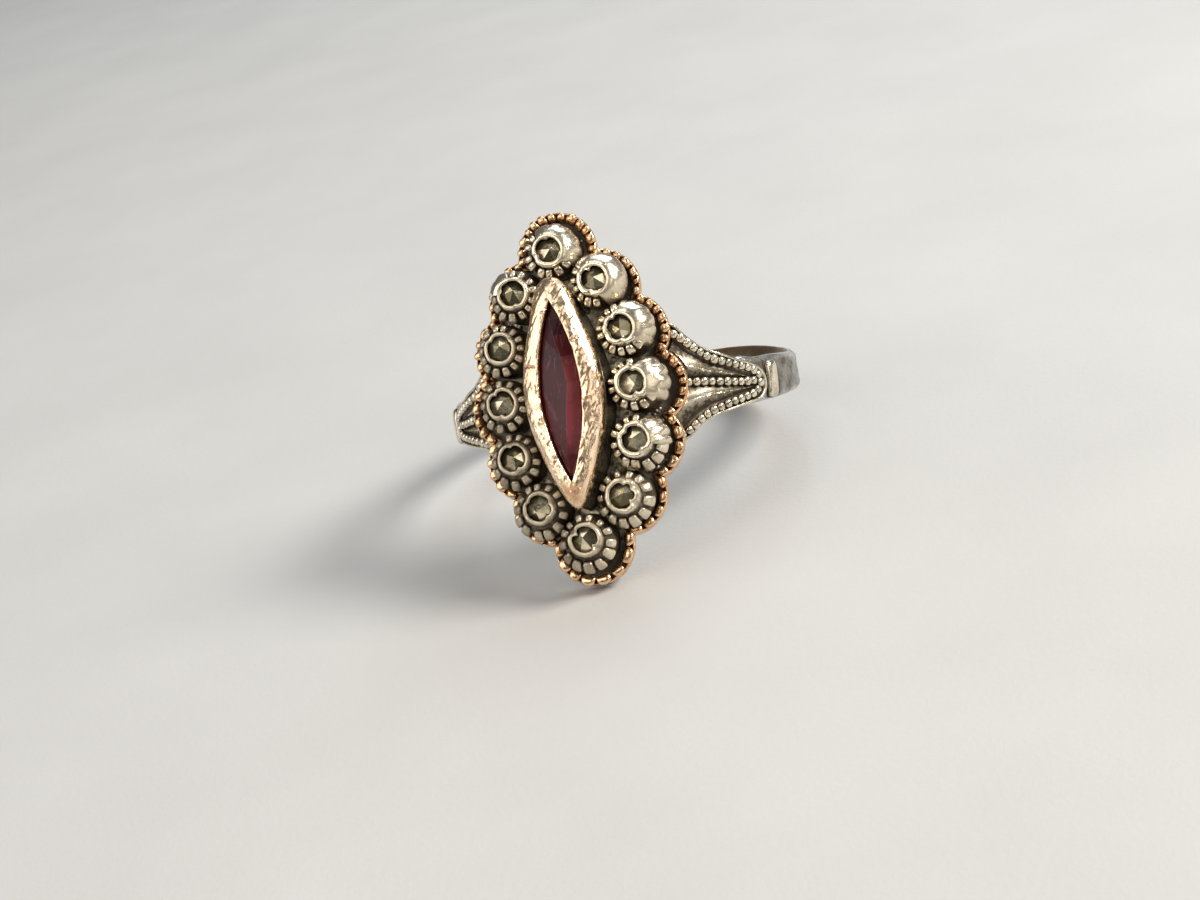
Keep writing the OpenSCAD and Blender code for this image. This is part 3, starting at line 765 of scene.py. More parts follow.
def collets():
    s = Shape()
    for k in range(12):
        seed = 20 + k

        def wobble(t, R, H):
            ring = np.stack([np.cos(t).ravel(), np.sin(t).ravel(), 0 * t.ravel()], 1)
            n1, n2 = noise(ring, 0.55, seed).reshape(t.shape), noise(ring, 0.22, seed + 40).reshape(t.shape)
            top = step(H, 1.20, 1.58)
            R = R + WIDE[k] * step(R, 0.72, 0.95) + top * (0.040 * n1 + 0.020 * n2)
            middle = 0.83
            R = middle + (R - middle) * np.where(R > middle, 1, 1 + 0.35 * n1)
            if CLAWS[k + 1][3]:
                a0, a1 = CLAWS[k + 1][3]
                d = (np.degrees(t) - (a0 + a1) / 2 + 180) % 360 - 180
                under = step(np.abs(d), (a1 - a0) / 2 + 4, (a1 - a0) / 2 - 8)
                H = H - 0.055 * under * top
            for at, deep in PUSHED[k + 1]:
                d = (np.degrees(t) - at + 180) % 360 - 180
                g = np.exp(-(d / 12) ** 2)
                R = R - top * 1.35 * deep * g * np.where(R < 0.84, 1.0, 0.75)
                H = H - top * 0.50 * deep * g
            return R, H + top * 0.012 * n2

        P = turn_section(COLLET_SEC, 110, CUPS[k], wobble).transpose(1, 0, 2)
        h = P[..., 2] - BORDER_TOP
        r = np.linalg.norm(P[..., :2] - CUPS[k], axis=-1)
        inside = np.arange(len(COLLET_SEC))[:, None] < 4
        # painted shade: darker down the outer flank under the lit top, reaching higher on the lower cups, and the inner
        # wall dark in the gap round the stone
        s.rings(P, wrap=True, dirt=np.clip(0.9 - (h - 1.18) / (0.33 if 3 < k < 9 else 0.22), 0, 0.9) + np.where(inside, 0.8, 0.0), tone=0.28 + 0.5 * DULL_AND_SHADED[k], film=DULL_AND_SHADED[k])
    return s


def petal(s, at, deg, r, h, long_, wide, deep, slope, **values):
    """A rounded pad on a cup's flank, its length running outwards and down."""
    e = np.array([math.cos(math.radians(deg)), math.sin(math.radians(deg))])
    c, q = math.cos(math.radians(slope)), math.sin(math.radians(slope))
    T = turned(np.array([*(e * c), -q]), np.array([*(e * q), c]))
    V = PETAL * np.array([long_, wide, deep])
    V[:, 1] *= 1 + 0.13 * PETAL[:, 0]
    V[:, 2] -= 0.30 * deep * PETAL[:, 0] ** 2 + 0.25 * deep * PETAL[:, 1] ** 2
    V = V @ T + np.array([*(at + e * r), BORDER_TOP + h])
    V += 0.012 * noise(V, 0.25, 71)[:, None]
    s.add(V, PETAL_F, **values)


def claws():
    """Round every cup: short teeth by the collet, petals where the flank faces out and down, and a lobed dome where they are rubbed together."""
    s = Shape()
    for k in range(12):
        n, first, down, dome = CLAWS[k + 1]
        at = CUPS[k] + np.array([-0.05, -0.05])
        others = np.delete(CUPS, k, 0)
        for i in range(n):
            a = first + 360.0 * i / n + rng.uniform(-3, 3)
            if dome:
                mid = (dome[0] + dome[1]) / 2
                if abs((a - mid + 180) % 360 - 180) < (dome[1] - dome[0]) / 2:
                    continue
            face = np.clip(0.42 + 0.72 * math.cos(math.radians(a - down)), 0, 1)
            face *= 0.35 if k < 4 else 0.45 if k > 8 else 0.85 if k == 8 else 1.18 if k == 6 else 1.08
            tooth = (1 - face) * (1.0 if k < 5 else 0.75 if k > 8 else 0.25)
            e = np.array([math.cos(math.radians(a)), math.sin(math.radians(a))])
            size = 1 + 0.09 * rng.uniform(-1, 1)
            long_, wide, slope = (0.225 + 0.140 * face) * size, (0.165 + 0.095 * face) * size, 34 + 14 * face - 12 * tooth
            r, h = 1.215 + 0.165 * face - 0.09 * tooth + 0.02 * rng.uniform(-1, 1), 1.11 - 0.17 * face + 0.27 * tooth + 0.03 * rng.uniform(-1, 1)
            # room to the next cup and to the marquise's wall
            tip = at + e * (r + long_)
            short = max(0.0, 1.50 - np.linalg.norm(others - tip, axis=1).min())
            side = 2.17 * (1 - min(1.0, abs(tip[1]) / 6.2) ** 2) + 0.05
            if abs(tip[1]) < 6.1 and abs(tip[0]) < side:
                short = max(short, side - abs(tip[0]))
            r, h = r - 0.75 * short, h + 0.4 * short
            aside = step(math.cos(math.radians(a - 178)), 0.55, 0.95) if k in (8, 9, 10, 11) else 0.0
            r, h, long_ = r - 0.17 * aside, h + 0.05 * aside, long_ * (1 - 0.25 * aside)
            # petals pointing left on the lower and left cups are darker: painted shade on the side turned from the
            # light
            left_ = (0.32 if k > 5 else 0.0) * max(0.0, math.cos(math.radians(a - 190)))
            petal(s, at, a, r, h, long_ - 0.25 * short, wide, 0.14, slope, dirt=0.03 + 0.10 * rng.random() + left_, tone=rng.uniform(0.15, 0.75) + 0.3 * DULL_AND_SHADED[k], film=1.1 * DULL_AND_SHADED[k])
        if dome:
            a0, a1 = dome
            m = int((a1 - a0) * 1.2)
            t = np.linspace(0, 1, m)
            A = np.radians(a0 - 5 + (a1 - a0 + 10) * t)
            prof = np.array([(0.80, 1.05), (0.80, 1.40), (0.765, 1.52), (0.735, 1.60), (0.765, 1.635), (0.83, 1.648), (0.92, 1.630), (1.02, 1.585), (1.13, 1.505), (1.25, 1.40),
                             (1.36, 1.27), (1.46, 1.11), (1.54, 0.93), (1.595, 0.74), (1.62, 0.55), (1.61, 0.36), (1.57, 0.20), (1.50, 0.09), (1.42, 0.01),
                             (1.37, -0.08), (1.34, -0.45), (0.95, -0.45)])
            end = np.clip(np.minimum(t, 1 - t) * (a1 - a0 + 10) / 14.0, 0, 1)
            end = np.sqrt(1 - (1 - end) ** 2)[:, None]
            lobe = np.abs(np.sin((np.degrees(A) - first) * n / 360 * math.pi))[:, None] ** 0.6
            flute = {0: 0.08, 1: 0.01, 2: 0.06, 3: 0.10, 4: 0.12}.get(k, 0.10)
            reach = {0: 1.68, 1: 1.64, 2: 1.76, 3: 1.92, 4: 1.84}.get(k, 1.60)
            ahead = np.clip(np.cos(A - math.atan2(OUT[k][1], OUT[k][0])), 0, 1)[:, None] ** 1.5
            top_ = 1.60 + (reach - 1.60) * ahead
            grow = prof[:, 0][None] - 1.0
            H = prof[:, 1][None] + 0 * end
            swell = np.where(grow > 0, grow * (top_ - 1.0) / 0.62, grow)
            R = np.where(grow < 0, prof[:, 0][None] + 0 * end, 1.0 + swell * (0.25 + 0.75 * end) * (1 - flute * 1.6 * (1 - lobe) * step(H, 1.50, 1.1)))
            R = np.where(grow < 0, R, np.minimum(R, np.where(H < 0.03, 1.385, 9)))
            # it gives way to the next cup
            for _ in range(3):
                X = np.stack([at[0] + R * np.cos(A)[:, None], at[1] + R * np.sin(A)[:, None]], -1)
                near = np.min([np.linalg.norm(X - o, axis=-1) for o in others], 0)
                R = np.where(grow < 0, R, R - 0.6 * np.maximum(0, 1.47 - near))
            P = np.stack([at[0] + R * np.cos(A)[:, None], at[1] + R * np.sin(A)[:, None], BORDER_TOP + H], -1)
            Q = P.reshape(-1, 3)
            out = (Q[:, :2] - at) / np.linalg.norm(Q[:, :2] - at, axis=1)[:, None]
            bumps = 0.022 * noise(Q, 0.45, 30 + k) - 0.03 * np.maximum(0, noise(Q, 0.16, 50 + k) - 0.45)
            Q[:, :2] += bumps[:, None] * out
            Q[:, 2] += bumps
            inside = np.arange(len(prof))[None, :] < 3
            # painted shade: the dome's lower right is drawn darker and duller, and its inner wall dark round the stone;
            # it also darkens towards its foot
            lower = np.clip(np.cos(A - math.radians(-50)), 0, 1)[:, None]
            s.rings(Q.reshape(P.shape), dirt=np.clip(0.95 - (H - 0.05) / (0.92 if k in (1, 2) else 0.72), 0, 0.9) + 0.4 * (1 - lobe) * flute / 0.12 * step(H, 1.40, 0.95)
                    + np.where(inside, 0.8, 0), tone=0.15 + 0.55 * lower + 0 * H, film=0.05 + 0.40 * lower + 0 * H)
    return s


def grains():
    """Small grains of metal on the plate, between the cups and the marquise."""
    s = Shape()
    wall = marquise(2.25, 6.35, 0.18, 40)
    made = 0
    while made < 230:
        p = np.array([rng.uniform(-4.6, 4.6), rng.uniform(-8.6, 8.6)])
        d = np.linalg.norm(CUPS - p, axis=1).min()
        if d < 1.50 or in_polygon(p[None], wall)[0] or not in_head(p[None], LOBE - BORDER_W - 0.15)[0]:
            continue
        r = rng.uniform(0.05, 0.12) * (1.35 if made % 7 == 0 else 1)
        c = np.array([*p, BORDER_TOP - FLOOR - drop(p[0]) + r * 0.5])
        s.add(BEAD * np.array([r, r, r * 0.9]) + c, BEAD_F, dirt=rng.uniform(0.1, 0.5), tone=rng.uniform(0.2, 0.9))
        made += 1
    return s


def setting_wall():
    """The silver wall under the rim, with the stone's pocket and the window in it."""
    s = Shape()
    n = 120
    sec = [(2.13, 6.19, 0.22, -0.60), (2.15, 6.21, 0.18, -0.30), (2.12, 6.18, 0.18, 0.2), (2.11, 6.17, 0.18, 0.8), (2.13, 6.19, 0.18, 1.3),
           (2.14, 6.20, 0.18, 1.55), (2.08, 6.14, 0.18, 1.62), (1.60, 5.42, 0.0, 1.62), (1.57, 5.37, 0.0, 1.5), (1.57, 5.37, 0.0, 0.38),
           (1.50, 5.2, 0.0, 0.35), (1.02, 4.32, 0.0, 0.35), (1.02, 4.32, 0.0, -0.2), (1.03, 4.33, 0.0, -0.93), (1.30, 4.8, 0.0, -0.93), (1.9, 5.9, 0.1, -0.62)]
    P = np.array([[(x, y, BORDER_TOP + h) for x, y in marquise(w, l, b, n)] for w, l, b, h in sec])
    Q = P.reshape(-1, 3)
    Q[:, 2] -= 0.0
    Q[:, :2] *= (1 + 0.006 * noise(Q, 0.8, 14))[:, None]
    h = P[..., 2] - BORDER_TOP
    outer = (np.arange(len(sec)) < 7)[:, None] + 0 * h
    dirt = np.where(outer > 0, np.clip(0.60 - h / 0.9, 0.06, 0.8), 0.85)
    s.rings(Q.reshape(P.shape), wrap=True, dirt=dirt, warm=np.where(outer > 0, 0.05, 0.5), tone=0.65)
    return s


def rim():
    """The rose-gold rim that was hammered over the marquise stone."""
    s = Shape()
    n = 260
    key = np.array([(0.0, 1.66), (-0.006, 1.78), (-0.006, 1.98), (0.0, 2.12), (0.03, 2.27), (0.09, 2.39), (0.18, 2.49), (0.30, 2.585), (0.44, 2.665),
                    (0.58, 2.725), (0.70, 2.76), (0.80, 2.775), (0.88, 2.785), (0.94, 2.775), (0.98, 2.73), (1.0, 2.66), (0.995, 2.50), (0.97, 2.36),
                    (0.80, 2.27), (0.64, 2.18), (0.64, 1.95), (0.64, 1.70), (0.60, 1.66), (0.3, 1.65)])
    L = np.concatenate([[0], np.cumsum(np.hypot(*(np.diff(key, axis=0) * np.array([1.05, 1.0])).T))])
    t = np.concatenate([np.linspace(L[0], L[3], 7)[:-1], np.linspace(L[3], L[15], 44)[:-1], np.linspace(L[15], L[-1], 16)])
    share, high = np.interp(t, L, key[:, 0]), np.interp(t, L, key[:, 1])
    P = np.array([[(x, y, h) for x, y in marquise(2.16 + (1.12 - 2.16) * q, 6.25 + (4.84 - 6.25) * q, 0.30 * (1 - q), n)]
                  for q, h in zip(share, high)])
    shape = P.shape
    Q = P.reshape(-1, 3).copy()
    away = np.repeat(1 - share, shape[1])
    c = np.clip(Q[:, 1] / 6.25, 0, 1)
    Q[:, 0] += np.sign(Q[:, 0]) * away * 1.0 * c ** 6 * np.sqrt(1 - c * c)
    Q[:, 1] -= 0.02 * away * step(Q[:, 1], 4.9, 6.2)
    x, y, h = Q[:, 0], Q[:, 1], Q[:, 2]
    top = step(h, 1.9, 2.35) * np.repeat(np.where(t < L[17], 1.0, 0.0), shape[1])
    # hammer marks: strokes that lean to the right, and finer nicks in them
    lean = np.stack([x * 0.80 - y * 0.60, (x * 0.60 + y * 0.80) * 0.30, h * 0.5], 1)
    flat = noise(lean, 0.34, 51)
    fine = noise(lean * np.array([1, 0.8, 1]), 0.13, 52)
    facet = noise(Q, 0.62, 57)
    pits = np.maximum(0, noise(Q, 0.15, 53) - 0.50)
    lift = 0.042 * np.abs(flat) ** 0.7 * np.sign(flat) + 0.024 * fine + 0.028 * facet - 0.12 * pits
    lift += 0.020 * noise(Q, 1.3, 54)
    # the nick on the left, the flat below it and the dent further down
    along_nick = ((x + 1.75) * 0.58 - (y - 1.62) * 0.16) / (0.58 ** 2 + 0.16 ** 2)
    off_nick = np.abs((x + 1.75) * 0.16 + (y - 1.62) * 0.58) / math.hypot(0.58, 0.16)
    lift -= 0.10 * np.exp(-(off_nick / 0.045) ** 2) * step(along_nick, -0.35, 0.0) * step(along_nick, 1.15, 0.9)
    lift -= 0.060 * np.exp(-(((x + 1.42) * 0.9 + (y - 1.12) * 0.2) / 0.28) ** 2 - ((y - 1.12) / 0.42) ** 2)
    lift -= 0.085 * np.exp(-((x + 1.66) / 0.20) ** 2 - ((y - 0.60) / 0.24) ** 2)
    # a bead of metal and two notches by the lower tip
    for bx, by, size, tall in ((0.04, -5.08, 0.11, 0.10), (-0.12, -5.42, 0.08, 0.06), (0.30, -5.50, 0.08, 0.06), (0.42, -5.18, 0.07, -0.09), (0.10, -5.30, 0.06, -0.06)):
        lift += tall * np.exp(-((x - bx) ** 2 + (y - by) ** 2) / size ** 2)
    # both tips are pressed down a little
    lift -= 0.05 * step(np.abs(y), 4.9, 5.9)
    lift = lift * top
    Q[:, 2] += lift * 0.9
    side = Q[:, :2] / np.maximum(np.linalg.norm(Q[:, :2], axis=1), 0.2)[:, None]
    outer = np.repeat(np.where(share < 0.35, 1.0, 0.0), shape[1])
    Q[:, :2] += (outer * step(h, 1.8, 2.2) * (0.020 * noise(Q, 0.7, 55) - 0.010))[:, None] * side
    # an uneven inner edge
    inner = np.repeat(np.where(share > 0.9, 1.0, 0.0), shape[1])
    Q[:, 0] += inner * 0.030 * noise(Q * np.array([0, 1, 0]) + np.sign(x)[:, None] * 3, 0.6, 56) * step(np.abs(y), 4.6, 4.0)
    Q[:, 2] += BORDER_TOP
    low = np.clip(0.6 - (h - 1.70) / 0.25, 0, 0.6) + 0.5 * pits
    dip = np.clip(-lift / 0.10, 0, 1)
    # the lip's underside and the wall under it are painted dark as shade above the stone
    under = np.repeat(np.where(t >= L[17], 0.9, 0.0), shape[1])
    tips = 0.75 * step(np.abs(y), 4.55, 5.3) * (y < 0) * step(np.repeat(share, shape[1]), 0.15, 0.45)
    flank = outer * (1 - step(h, 2.12, 2.42)) * step(h, 1.66, 1.75)
    low = low * (1 - 0.5 * flank)
    s.rings(Q.reshape(shape), wrap=True, dirt=np.clip(low + 0.34 * dip + under, 0, 1), warm=np.clip(0.30 * dip + tips, 0, 1),
            tone=0.35 + 0.32 * flat + 0.25 * facet, film=0.85 * flank)
    return s


# Beads to a millimetre of border, top to bottom and round again
BEAD_PITCH = [0.54, 0.56, 0.58, 0.62, 0.72, 0.84, 0.88, 0.84, 0.74, 0.66, 0.60, 0.56]


def border():
    """The scalloped wall and the milled beads along its top."""
    wall, beads = Shape(), Shape()
    n = 110
    # inset from the outer face, height over the top's level, how dark (darkest down the inner wall), warmth
    sec = [(0.03, -0.95, 0.45, 0.6), (0.0, -0.91, 0.10, 0.3), (0.0, -0.60, 0.05, 0.35), (0.0, -0.34, 0.05, 0.3), (0.012, -0.20, 0.05, 0.2), (0.045, -0.115, 0.1, 0.1),
           (0.09, -0.085, 0.2, 0.2), (0.15, -0.10, 0.6, 0.6), (0.26, -0.13, 0.75, 0.8), (0.38, -0.12, 0.7, 0.8), (0.455, -0.16, 0.45, 0.7), (0.49, -0.25, 0.45, 0.8),
           (0.505, -0.36, 0.6, 0.9), (0.51, -0.45, 0.8, 0.9), (0.51, -0.95, 0.9, 0.9)]
    r0, _ = scallops(LOBE - 0.24, n)
    centres, counts = [], []
    phase = np.zeros(12 * n)
    for k in range(12):
        seg = np.vstack([r0[k * n:(k + 1) * n], r0[((k + 1) * n) % (12 * n)]])
        m = max(5, int(round(np.hypot(*np.diff(seg, axis=0).T).sum() / BEAD_PITCH[k])))
        # the wheel did not step evenly
        edges = np.linspace(0, 1, m + 1)
        edges[1:-1] += rng.uniform(-0.16, 0.16, m - 1) / m
        phase[k * n:(k + 1) * n] = np.interp(np.arange(n) / n, edges, np.arange(m + 1))
        centres += [(k, (a_ + b_) / 2, b_ - a_) for a_, b_ in zip(edges[:-1], edges[1:])]
    rib = np.abs(np.sin(phase * math.pi)) ** 0.7
    P, D, W = [], [], []
    for i, (t, h, d, w) in enumerate(sec):
        Q, N = scallops(LOBE - t, n)
        inner = step(t, 0.40, 0.49)
        Q = Q - N * (inner * 0.055 * (rib - 0.75))[:, None]
        if i < 4 or i == len(sec) - 1:
            Q = Q - N * (np.clip(N[:, 0] - 0.15, 0, 1) * 0.20 * step(h, -0.30, -0.90))[:, None]
        notch = (0.12 if 7 <= i <= 9 else 0.09 if i == 10 else 0.03 if i in (6, 11) else 0.0)
        z = h - drop(Q[:, 0]) - notch * (1 - rib)
        P.append(np.stack([Q[:, 0], Q[:, 1], BORDER_TOP + z], 1))
        D.append(np.clip(d + (0.35 if i >= 6 else 0.0) * (0.6 - rib), 0, 1))
        W.append(np.full(len(Q), w))
    P = np.array(P)
    Q = P.reshape(-1, 3)
    Q[:, 2] += 0.016 * noise(Q, 0.8, 61)
    Q[:, :2] *= (1 + 0.0012 * (noise(Q, 0.7, 62) - 1))[:, None]
    wall.rings(Q.reshape(P.shape), wrap=True, dirt=np.array(D), warm=np.array(W), tone=0.45)
    r, N = scallops(LOBE - 0.26, n)
    S = np.concatenate([[0], np.cumsum(np.hypot(*(np.roll(r, -1, 0) - r).T))])
    for k, at, width in centres:
        u = (k + at) * n
        i = int(u) % (12 * n)
        i2 = (i + 1) % (12 * n)
        c, nn = r[i] + (u - int(u)) * (r[i2] - r[i]), N[i]
        pitch = width * (S[min((k + 1) * n, 12 * n)] - S[k * n])
        size = 1 + 0.12 * rng.uniform(-1, 1)
        # the beads lean a little, as a wheel leaves them, and run down towards the inside
        half = 0.245 if k in (1, 5, 7, 11) else 0.285
        V = MILL * np.array([0.41 * pitch * size, half * size, 0.19 * size])
        V[:, 1] += 0.26 - half - 0.005
        V[:, 0] += 0.22 * V[:, 1] * rng.uniform(-0.2, 1.0)
        V[:, 0] *= 1 - 0.12 * MILL[:, 1]
        V[:, 2] -= 0.11 * step(-MILL[:, 1], 0.1, 1.0)
        T = np.array([[-nn[1], nn[0], 0.0], [nn[0], nn[1], 0.0], [0, 0, 1.0]])
        V = V @ T + np.array([*(c + nn * rng.uniform(-0.015, 0.012)), BORDER_TOP - drop(c[0]) - 0.085 + rng.uniform(-0.02, 0.02)])
        V += 0.012 * noise(V, 0.22, 63)[:, None]
        hh = V[:, 2] - (BORDER_TOP - drop(c[0]))
        beads.add(V, MILL_F, dirt=np.clip(0.75 - (hh + 0.14) / 0.13, 0, 0.75), warm=0.1 + 0.2 * rng.random(), tone=rng.uniform(0.05, 0.8))
    return wall, beads


def stone():
    """The marquise stone. Its keel bows to the right, with a strip along each edge and large facets between.
    Columns of a ring: along the head, left edge, right edge, height."""
    s = Shape()
    keel = np.array([(4.55, -0.12, 2.36), (3.88, -0.20, 2.48), (3.0, -0.06, 2.54), (1.82, 0.22, 2.58), (0.40, 0.44, 2.61), (-1.04, 0.16, 2.60), (-2.35, 0.03, 2.56),
                     (-3.40, -0.12, 2.50), (-4.50, -0.10, 2.36)])

    def edge(y, w, l):
        return w * (1 - (y / l) ** 2)

    ys = keel[:, 0]
    V, faces, warm, tone = [], [], [], []

    def face(points, t, r):
        i = len(V)
        V.extend(points)
        tone.extend([t] * len(points))
        warm.extend([r] * len(points))
        faces.append(list(range(i, i + len(points))))

    tips = [(0.0, 5.18), (0.0, -5.18)]
    left = [(-edge(y, 1.00, 4.72), y, 2.40) for y in ys]
    right = [(edge(y, 1.02, 4.72), y, 2.40) for y in ys]
    gl = [(-edge(y, 1.39, 5.18), y, 1.98) for y in ys]
    gr = [(edge(y, 1.39, 5.18), y, 1.98) for y in ys]
    pl = [(a, b, 1.70) for a, b, _ in gl]
    pr = [(a, b, 1.70) for a, b, _ in gr]
    k = [(x, y, h) for y, x, h in keel]
    kl = [(x - 0.011, y, h + 0.001) for x, y, h in k]
    kr = [(x + 0.011, y, h + 0.001) for x, y, h in k]
    lo = [(0.0, y * 0.86, 0.75) for y in ys]
    n = len(ys)
    # painted light in the facets, from the upper tip to the lower: how light and how red each is drawn
    tl = [0.04, 0.07, 0.13, 0.17, 0.20, 0.23, 0.28, 0.23]
    wl = [0.20, 0.10, 0.05, 0.02, 0.05, 0.05, 0.05, 0.10]
    tr = [0.02, 0.00, 0.04, 0.52, 0.68, 0.72, 0.64, 0.42]
    wr = [0.10, 0.05, 0.35, 0.60, 0.35, 0.25, 0.20, 0.25]
    # the strip along the right edge, painted with the red light that comes back there
    te = [0.10, 0.08, 0.30, 0.55, 0.50, 0.60, 0.45, 0.30]
    we = [0.20, 0.60, 1.00, 0.95, 0.40, 0.55, 0.30, 0.20]
    for i in range(n - 1):
        face([left[i], left[i + 1], kl[i + 1]], tl[i], wl[i])
        face([left[i], kl[i + 1], kl[i]], tl[i] * 0.86, wl[i])
        # a light strip along the keel: a worn edge and a painted highlight
        face([kl[i], kl[i + 1], kr[i + 1], kr[i]], 0.8, 0.0)
        face([right[i], kr[i], kr[i + 1]], tr[i], wr[i])
        face([right[i], kr[i + 1], right[i + 1]], tr[i] * 0.9 + 0.04, wr[i] * 0.8)
        face([gl[i], gl[i + 1], left[i + 1], left[i]], 0.12, 0.55)
        face([gr[i + 1], gr[i], right[i], right[i + 1]], te[i], we[i])
        face([gl[i + 1], gl[i], pl[i], pl[i + 1]], 0.2, 0.3)
        face([gr[i], gr[i + 1], pr[i + 1], pr[i]], 0.2, 0.3)
        face([pl[i + 1], pl[i], lo[i], lo[i + 1]], 0.5, 0.3)
        face([pr[i], pr[i + 1], lo[i + 1], lo[i]], 0.6, 0.4)
    for j, (tx, ty) in ((0, tips[0]), (n - 1, tips[1])):
        up, dn = (tx, ty, 1.98), (tx, ty, 1.70)
        order = 1 if j == 0 else -1
        for pts in ([left[j], kl[j], up], [kl[j], kr[j], up], [kr[j], right[j], up], [gl[j], left[j], up], [right[j], gr[j], up], [pl[j], gl[j], up, dn],
                    [gr[j], pr[j], dn, up], [lo[j], pl[j], dn], [pr[j], lo[j], dn]):
            face(pts[::order], 0.15, 0.2)
    V = np.array(V, float)
    V[:, 2] += BORDER_TOP
    for size in (3, 4):
        pick = np.array([f for f in faces if len(f) == size])
        idx = pick.ravel()
        new = np.arange(len(idx)).reshape(-1, size)
        s.v.append(V[idx])
        s.f.append(new + s.n)
        s.n += len(idx)
        s.a["dirt"].append(np.zeros(len(idx)))
        s.a["warm"].append(np.array(warm)[idx])
        s.a["tone"].append(np.array(tone)[idx])
    return s


def marcasites():
    """Twelve small stones, each cut with six facets, none of them quite level."""
    s = Shape()
    tilt = np.random.default_rng(5)
    for c in CUPS:
        r, turn = 0.755, tilt.uniform(0, 60)
        apex = np.array([tilt.uniform(-0.18, 0.18), tilt.uniform(-0.18, 0.18)])
        m = 24
        t = np.radians(turn + 360 * np.arange(m) / m)
        ring = np.stack([r * np.cos(t), r * np.sin(t)], 1)
        lean = tilt.uniform(-0.045, 0.045, 2)
        low, girdle = 0.93, 1.30
        # each facet is a flat from the girdle to the apex: the girdle dips at the facets' middles
        dip = 0.05 * (1 - np.abs(((np.arange(m) % 4) - 2) / 2.0))
        gird = np.concatenate([ring, (girdle + dip + ring @ lean)[:, None]], 1)
        base = np.concatenate([ring * 0.98, np.full((m, 1), low)], 1)
        top = np.array([*apex, 1.615])
        # each facet's painted light: two facets of each stone drawn pale as glints, the others darker
        tone_ = tilt.uniform(0.0, 0.42, 6)
        tone_[tilt.permutation(6)[:2]] = tilt.uniform(0.8, 1.0, 2)
        for f in range(6):
            ids = [(4 * f + q) % m for q in range(5)]
            # split where two facets meet so that each keeps its own normal
            a, b, mid = gird[ids[0]], gird[ids[4]], gird[ids[2]]
            pts = np.array([gird[i] for i in ids] + [top])
            # the facet's plane through its two corners and the apex
            nrm = np.cross(b - a, top - a)
            for q in range(1, 4):
                p = pts[q]
                pts[q, 2] = a[2] - (nrm[0] * (p[0] - a[0]) + nrm[1] * (p[1] - a[1])) / nrm[2]
            V = pts + np.array([c[0], c[1], BORDER_TOP])
            tri = np.array([[0, 1, 5], [1, 2, 5], [2, 3, 5], [3, 4, 5]])
            s.v.append(V)
            s.f.append(tri + s.n)
            s.n += 6
            sidebase = np.array([base[i] for i in ids]) + np.array([c[0], c[1], BORDER_TOP])
            W = np.concatenate([V[:5], sidebase, [[c[0], c[1], BORDER_TOP + low]]])
            s.v.append(W)
            s.f.append(np.array([[q + 5, q + 6, q + 1, q] for q in range(4)]) + s.n)
            s.f.append(np.array([[10, q + 6, q + 5] for q in range(4)]) + s.n)
            s.n += 11
            for key, v in (("dirt", 0.0), ("warm", 0.0), ("tone", tone_[f])):
                s.a[key] += [np.full(6, v), np.full(11, v)]
    return s


# ---------------------------------------------------------------------- build
STONE, PYRITE = amethyst(), pyrite()
band().piece("band", "silver", BAND, place=shank)
shoulder(1).piece("shoulder_right", "silver", SHOULDER, sharp=60)
shoulder(-1).piece("shoulder_left", "silver", SHOULDER, sharp=60)
beaded = Shape()
for side_ in (1, -1):
    wires(beaded, side_)
beaded.piece("shoulder_wires", "silver", SHOULDER)
knuckles().piece("knuckle_bars", "silver", SHOULDER)
plate().piece("head_plate", "silver", PLATE, nodes=("silver_mount",))
cups().piece("cups", "silver", SILVER)
collets().piece("collets", "silver", SILVER)
claws().piece("claws", "silver", SILVER, sharp=60)
grains().piece("grains", "silver", PLATE)
setting_wall().piece("setting_wall", "silver", SILVER)
rim().piece("marquise_rim", "rose_gold", GOLD, nodes=("gold_bezel",), sharp=60)
wall_, beads_ = border()
wall_.piece("border_wall", "rose_gold", COPPER, nodes=("gold_border",))
beads_.piece("border_beads", "rose_gold", COPPER, sharp=70)
stone().piece("marquise_cut", "amethyst", STONE, nodes=("marquise_stone",), sharp=0)
marcasites().piece("marcasites", "marcasite", PYRITE, nodes=tuple("marcasite_%02d" % i for i in range(1, 13)), sharp=0)

# ------------------------------------------------------------ floor, light, view
floor_mesh = bpy.data.meshes.new("floor")
N = 24
xs = np.linspace(-1.6, 1.6, N)
floor_mesh.from_pydata([(x, y, 0.0) for y in xs for x in xs], [], [tuple(int(v) for v in f) for f in grid(N, N)[:, ::-1]])
floor = bpy.data.objects.new("floor", floor_mesh)
bpy.context.scene.collection.objects.link(floor)
g = Nodes("pale_floor")
cloud = g.noise(g("TexCoord").outputs["Object"], 60.0, 4.0)
b = g("BsdfPrincipled", {"Base Color": g.mix(g.range(cloud, 0.3, 0.7), (0.53, 0.525, 0.52), (0.495, 0.49, 0.485)), "Roughness": 0.75,
                         "Normal": g("Bump", {"Height": g.noise(g.place(), 3.0, 4.0), "Distance": 0.02 * MM}).outputs[0]})
g("OutputMaterial", {"Surface": b.outputs[0]})
floor_mesh.materials.append(g.m)

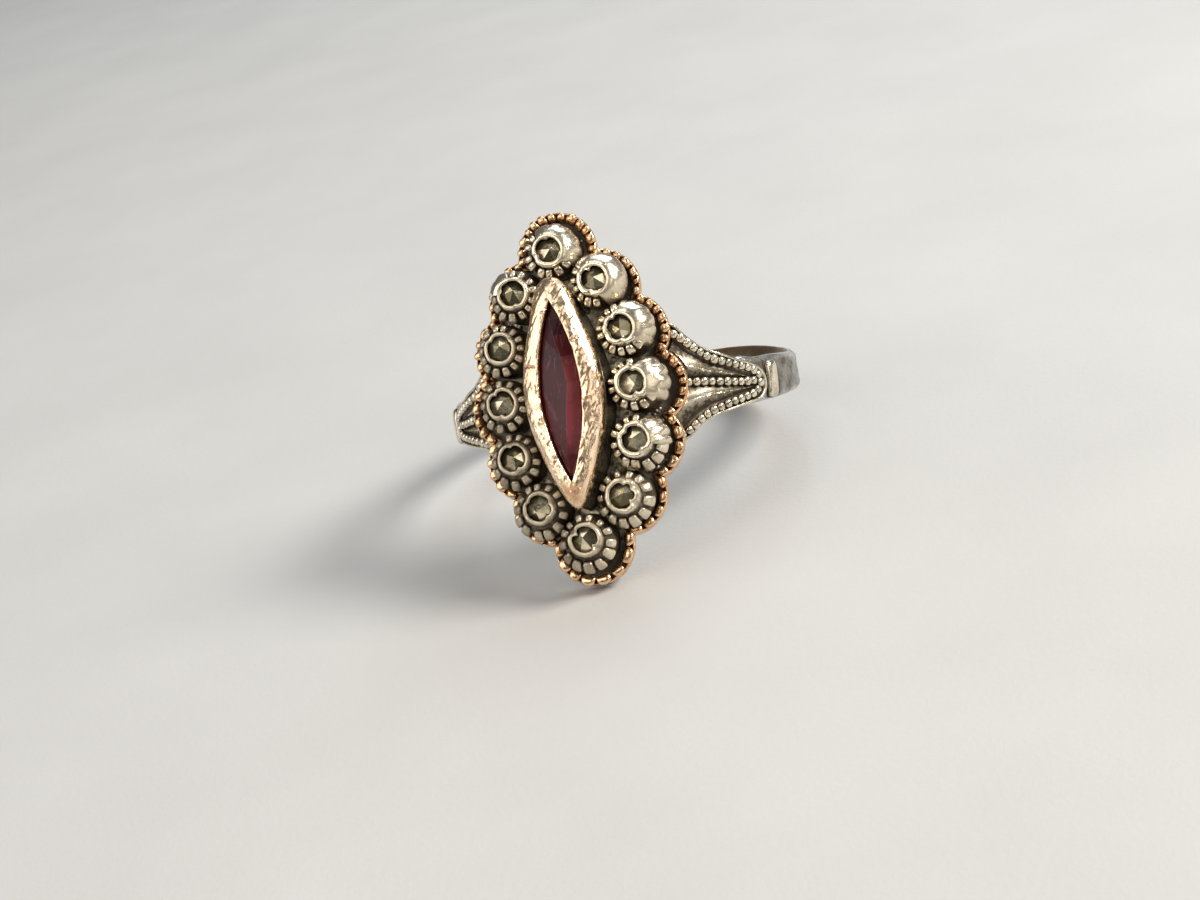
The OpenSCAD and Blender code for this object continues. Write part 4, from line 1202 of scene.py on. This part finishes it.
# The camera as fitted to the photograph, in the head's frame
AZ, EL, ROLL = math.radians(14.874), math.radians(-7.066), math.radians(-7.361)
back = np.array([math.sin(AZ) * math.cos(EL), -math.cos(AZ) * math.cos(EL), math.sin(EL)])
right0 = np.array([math.cos(AZ), math.sin(AZ), 0.0])
up0 = np.cross(back, right0)
right = math.cos(ROLL) * right0 + math.sin(ROLL) * up0
up = -math.sin(ROLL) * right0 + math.cos(ROLL) * up0
eye = row(np.array([1.189, -11.0, -3.166]) + 95.74 * back)[0]
aim = row(np.array([1.189, -11.0, -3.166]))[0]
R_, U_, B_ = REST @ right, REST @ up, REST @ back
cam_data = bpy.data.cameras.new("camera")
cam_data.lens, cam_data.sensor_width = 54.0, 36.0
cam_data.clip_start, cam_data.clip_end = 0.002, 20.0
cam = bpy.data.objects.new("camera", cam_data)
bpy.context.scene.collection.objects.link(cam)
cam.matrix_world = Matrix([[R_[i], U_[i], B_[i], eye[i]] for i in range(3)] + [[0, 0, 0, 1]])
bpy.context.scene.camera = cam


def lamp(name, direction, distance, size, power, colour=(1, 1, 1), size_y=None):
    """A soft rectangle of light that faces the ring, from a direction given as right, up and back along the camera's own axes at rest."""
    d = unit(direction[0] * R_ + direction[1] * U_ + direction[2] * B_)
    light = bpy.data.lights.new(name, "AREA")
    light.shape, light.size, light.size_y = "RECTANGLE", size, size_y or size
    light.energy, light.color = power, colour
    o = bpy.data.objects.new(name, light)
    o.location = Vector(aim + d * distance)
    o.rotation_mode = "QUATERNION"
    o.rotation_quaternion = Vector(d).to_track_quat("Z", "Y")
    o.visible_camera = False
    bpy.context.scene.collection.objects.link(o)
    return o


lamp("key", (0.66, 0.70, 0.42), 0.45, 0.17, 3.6, (1.0, 0.95, 0.87))
lamp("top", (0.10, 1.0, -0.30), 0.60, 0.34, 2.1, (0.80, 0.92, 1.0))
lamp("card", (-0.56, 0.26, 0.79), 0.60, 0.42, 1.25, (1.0, 0.92, 0.80), 0.34)
lamp("sky", (-0.35, 0.90, 0.45), 0.60, 0.32, 0.75, (1.0, 0.97, 0.94))
lamp("front", (0.36, 0.22, 0.90), 0.60, 0.24, 0.42, (1.0, 0.93, 0.83))
lamp("left", (-0.93, 0.13, 0.32), 0.60, 0.48, 1.75, (1.0, 0.96, 0.92))
lamp("low", (1.0, -0.05, 0.55), 0.60, 0.14, 0.25, (1.0, 0.94, 0.86))

world = bpy.data.worlds.new("studio")
bpy.context.scene.world = world
world.use_nodes = True
bg = world.node_tree.nodes.get("Background") or world.node_tree.nodes.new("ShaderNodeBackground")
bg.inputs[0].default_value = (0.86, 0.86, 0.86, 1.0)
bg.inputs[1].default_value = 0.18
view = bpy.context.scene.view_settings
view.view_transform, view.look = "Standard", "None"
view.exposure = -0.55
